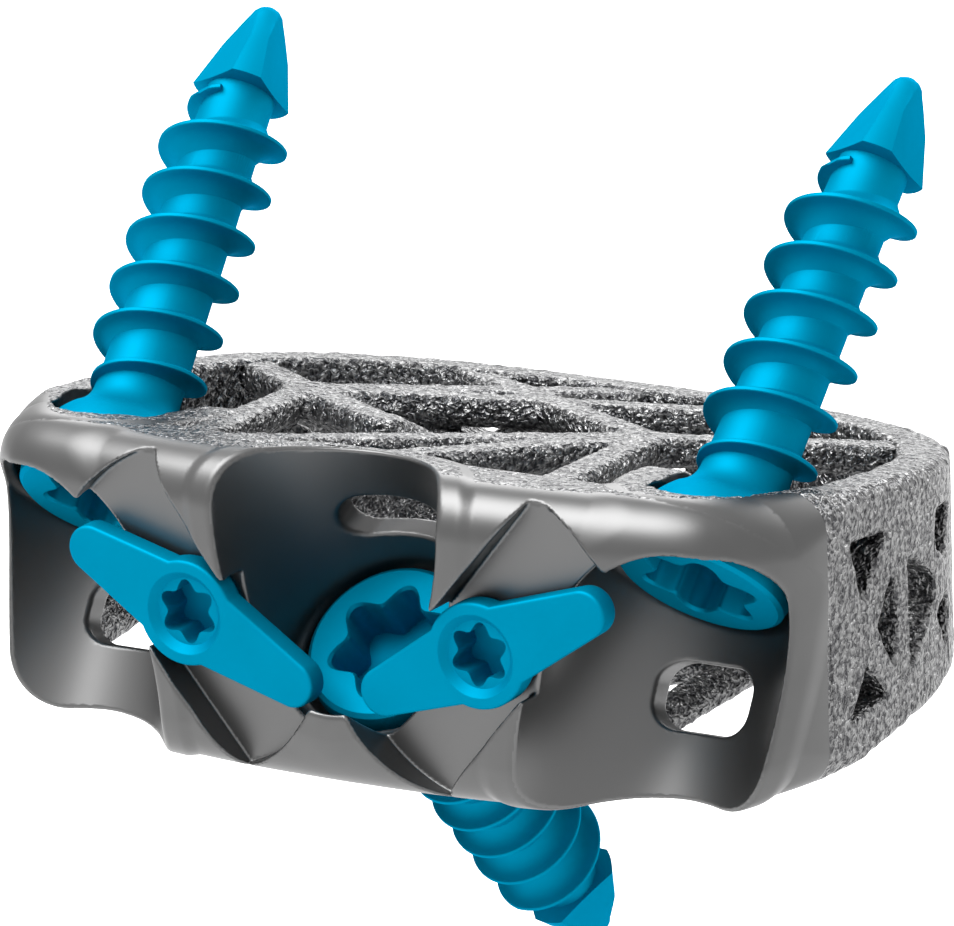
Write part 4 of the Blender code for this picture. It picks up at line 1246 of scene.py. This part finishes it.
def camera():
    """The photograph's viewpoint: a long lens, from the front right and a little above."""
    yaw, rise, roll = math.radians(31.15), math.radians(16.56), -0.0349
    focal, distance, slide_x, slide_y = 9266.15, 349.955, -5.6221, -6.4984
    back = Vector((math.sin(yaw) * math.cos(rise), -math.cos(yaw) * math.cos(rise), math.sin(rise)))
    level = Vector((math.cos(yaw), math.sin(yaw), 0))
    up = back.cross(level)
    right = math.cos(roll) * level + math.sin(roll) * up
    top = -math.sin(roll) * level + math.cos(roll) * up
    data = bpy.data.cameras.new("photo_camera")
    data.sensor_width = 36
    data.lens = focal * data.sensor_width / PHOTO_WIDTH
    data.clip_end = 10
    obj = bpy.data.objects.new("photo_camera", data)
    bpy.context.scene.collection.objects.link(obj)
    place = Vector(to_row(back * distance - right * slide_x - top * slide_y))
    obj.matrix_world = Matrix.Translation(place) @ Matrix((right, top, back)).transposed().to_4x4()
    bpy.context.scene.camera = obj


def lamp(name, place, width, height, power):
    """White soft lamp that looks at the middle of the part."""
    data = bpy.data.lights.new(name, "AREA")
    data.shape = "RECTANGLE"
    data.size, data.size_y = width * MM, height * MM
    data.energy = power
    obj = bpy.data.objects.new(name, data)
    bpy.context.scene.collection.objects.link(obj)
    obj.location = Vector(place) * MM
    obj.rotation_mode = "QUATERNION"
    obj.rotation_quaternion = (-obj.location).to_track_quat("-Z", "Y")


def studio():
    """White studio: pale floor, white surroundings and soft lamps from above."""
    world = bpy.data.worlds.new("white_studio")
    bpy.context.scene.world = world
    world.use_nodes = True
    tree = world.node_tree
    path = add_node(tree, "ShaderNodeLightPath").outputs
    seen = path["Is Camera Ray"]
    for ray in ("Is Transmission Ray", "Is Glossy Ray"):
        seen = add_node(
            tree, "ShaderNodeMath", {0: seen, 1: path[ray]}, operation="MAXIMUM"
        ).outputs[0]
    strength = add_node(
        tree, "ShaderNodeMapRange", {"Value": seen, "To Min": 0.5, "To Max": 1.0}
    ).outputs["Result"]
    tree.nodes["Background"].inputs["Color"].default_value = (1, 1, 1, 1)
    tree.links.new(strength, tree.nodes["Background"].inputs["Strength"])
    lamp("key", (-150, -165, 430), 480, 300, 4.4)
    lamp("back", (-40, 420, 230), 700, 260, 2.6)
    material, tree, shader = new_material("pale_floor")
    shader.inputs["Base Color"].default_value = linear("#F2F2F2")
    shader.inputs["Roughness"].default_value = 0.95
    # The floor reads white to the eye; its own colour still takes the object's shadow
    seen = add_node(tree, "ShaderNodeLightPath").outputs["Is Camera Ray"]
    shader.inputs["Emission Color"].default_value = (1, 1, 1, 1)
    glow = add_node(
        tree, "ShaderNodeMath", {0: seen, 1: FLOOR_GLOW}, operation="MULTIPLY"
    ).outputs[0]
    tree.links.new(glow, shader.inputs["Emission Strength"])
    corners = ((-1, -1), (1, -1), (1, 1), (-1, 1))
    points = np.array([(FLOOR_HALF * x, FLOOR_HALF * y, FLOOR_LEVEL) for x, y in corners])
    floor = mesh_object("floor", points, [(0, 1, 2, 3)], material)
    bpy.context.scene.view_settings.view_transform = "Standard"


camera()
titanium = printed_titanium()
blue = anodised_titanium()
body = cage_body(titanium)
bars = lattice(titanium)
for piece in (body, bars):
    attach(piece, "cage")
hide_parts("cage_body")
screws(blue)
locks(blue)
for side in ("left", "right"):
    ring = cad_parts[f"retaining_ring_{side}"]
    for slot in ring.material_slots:
        slot.material = blue
studio()
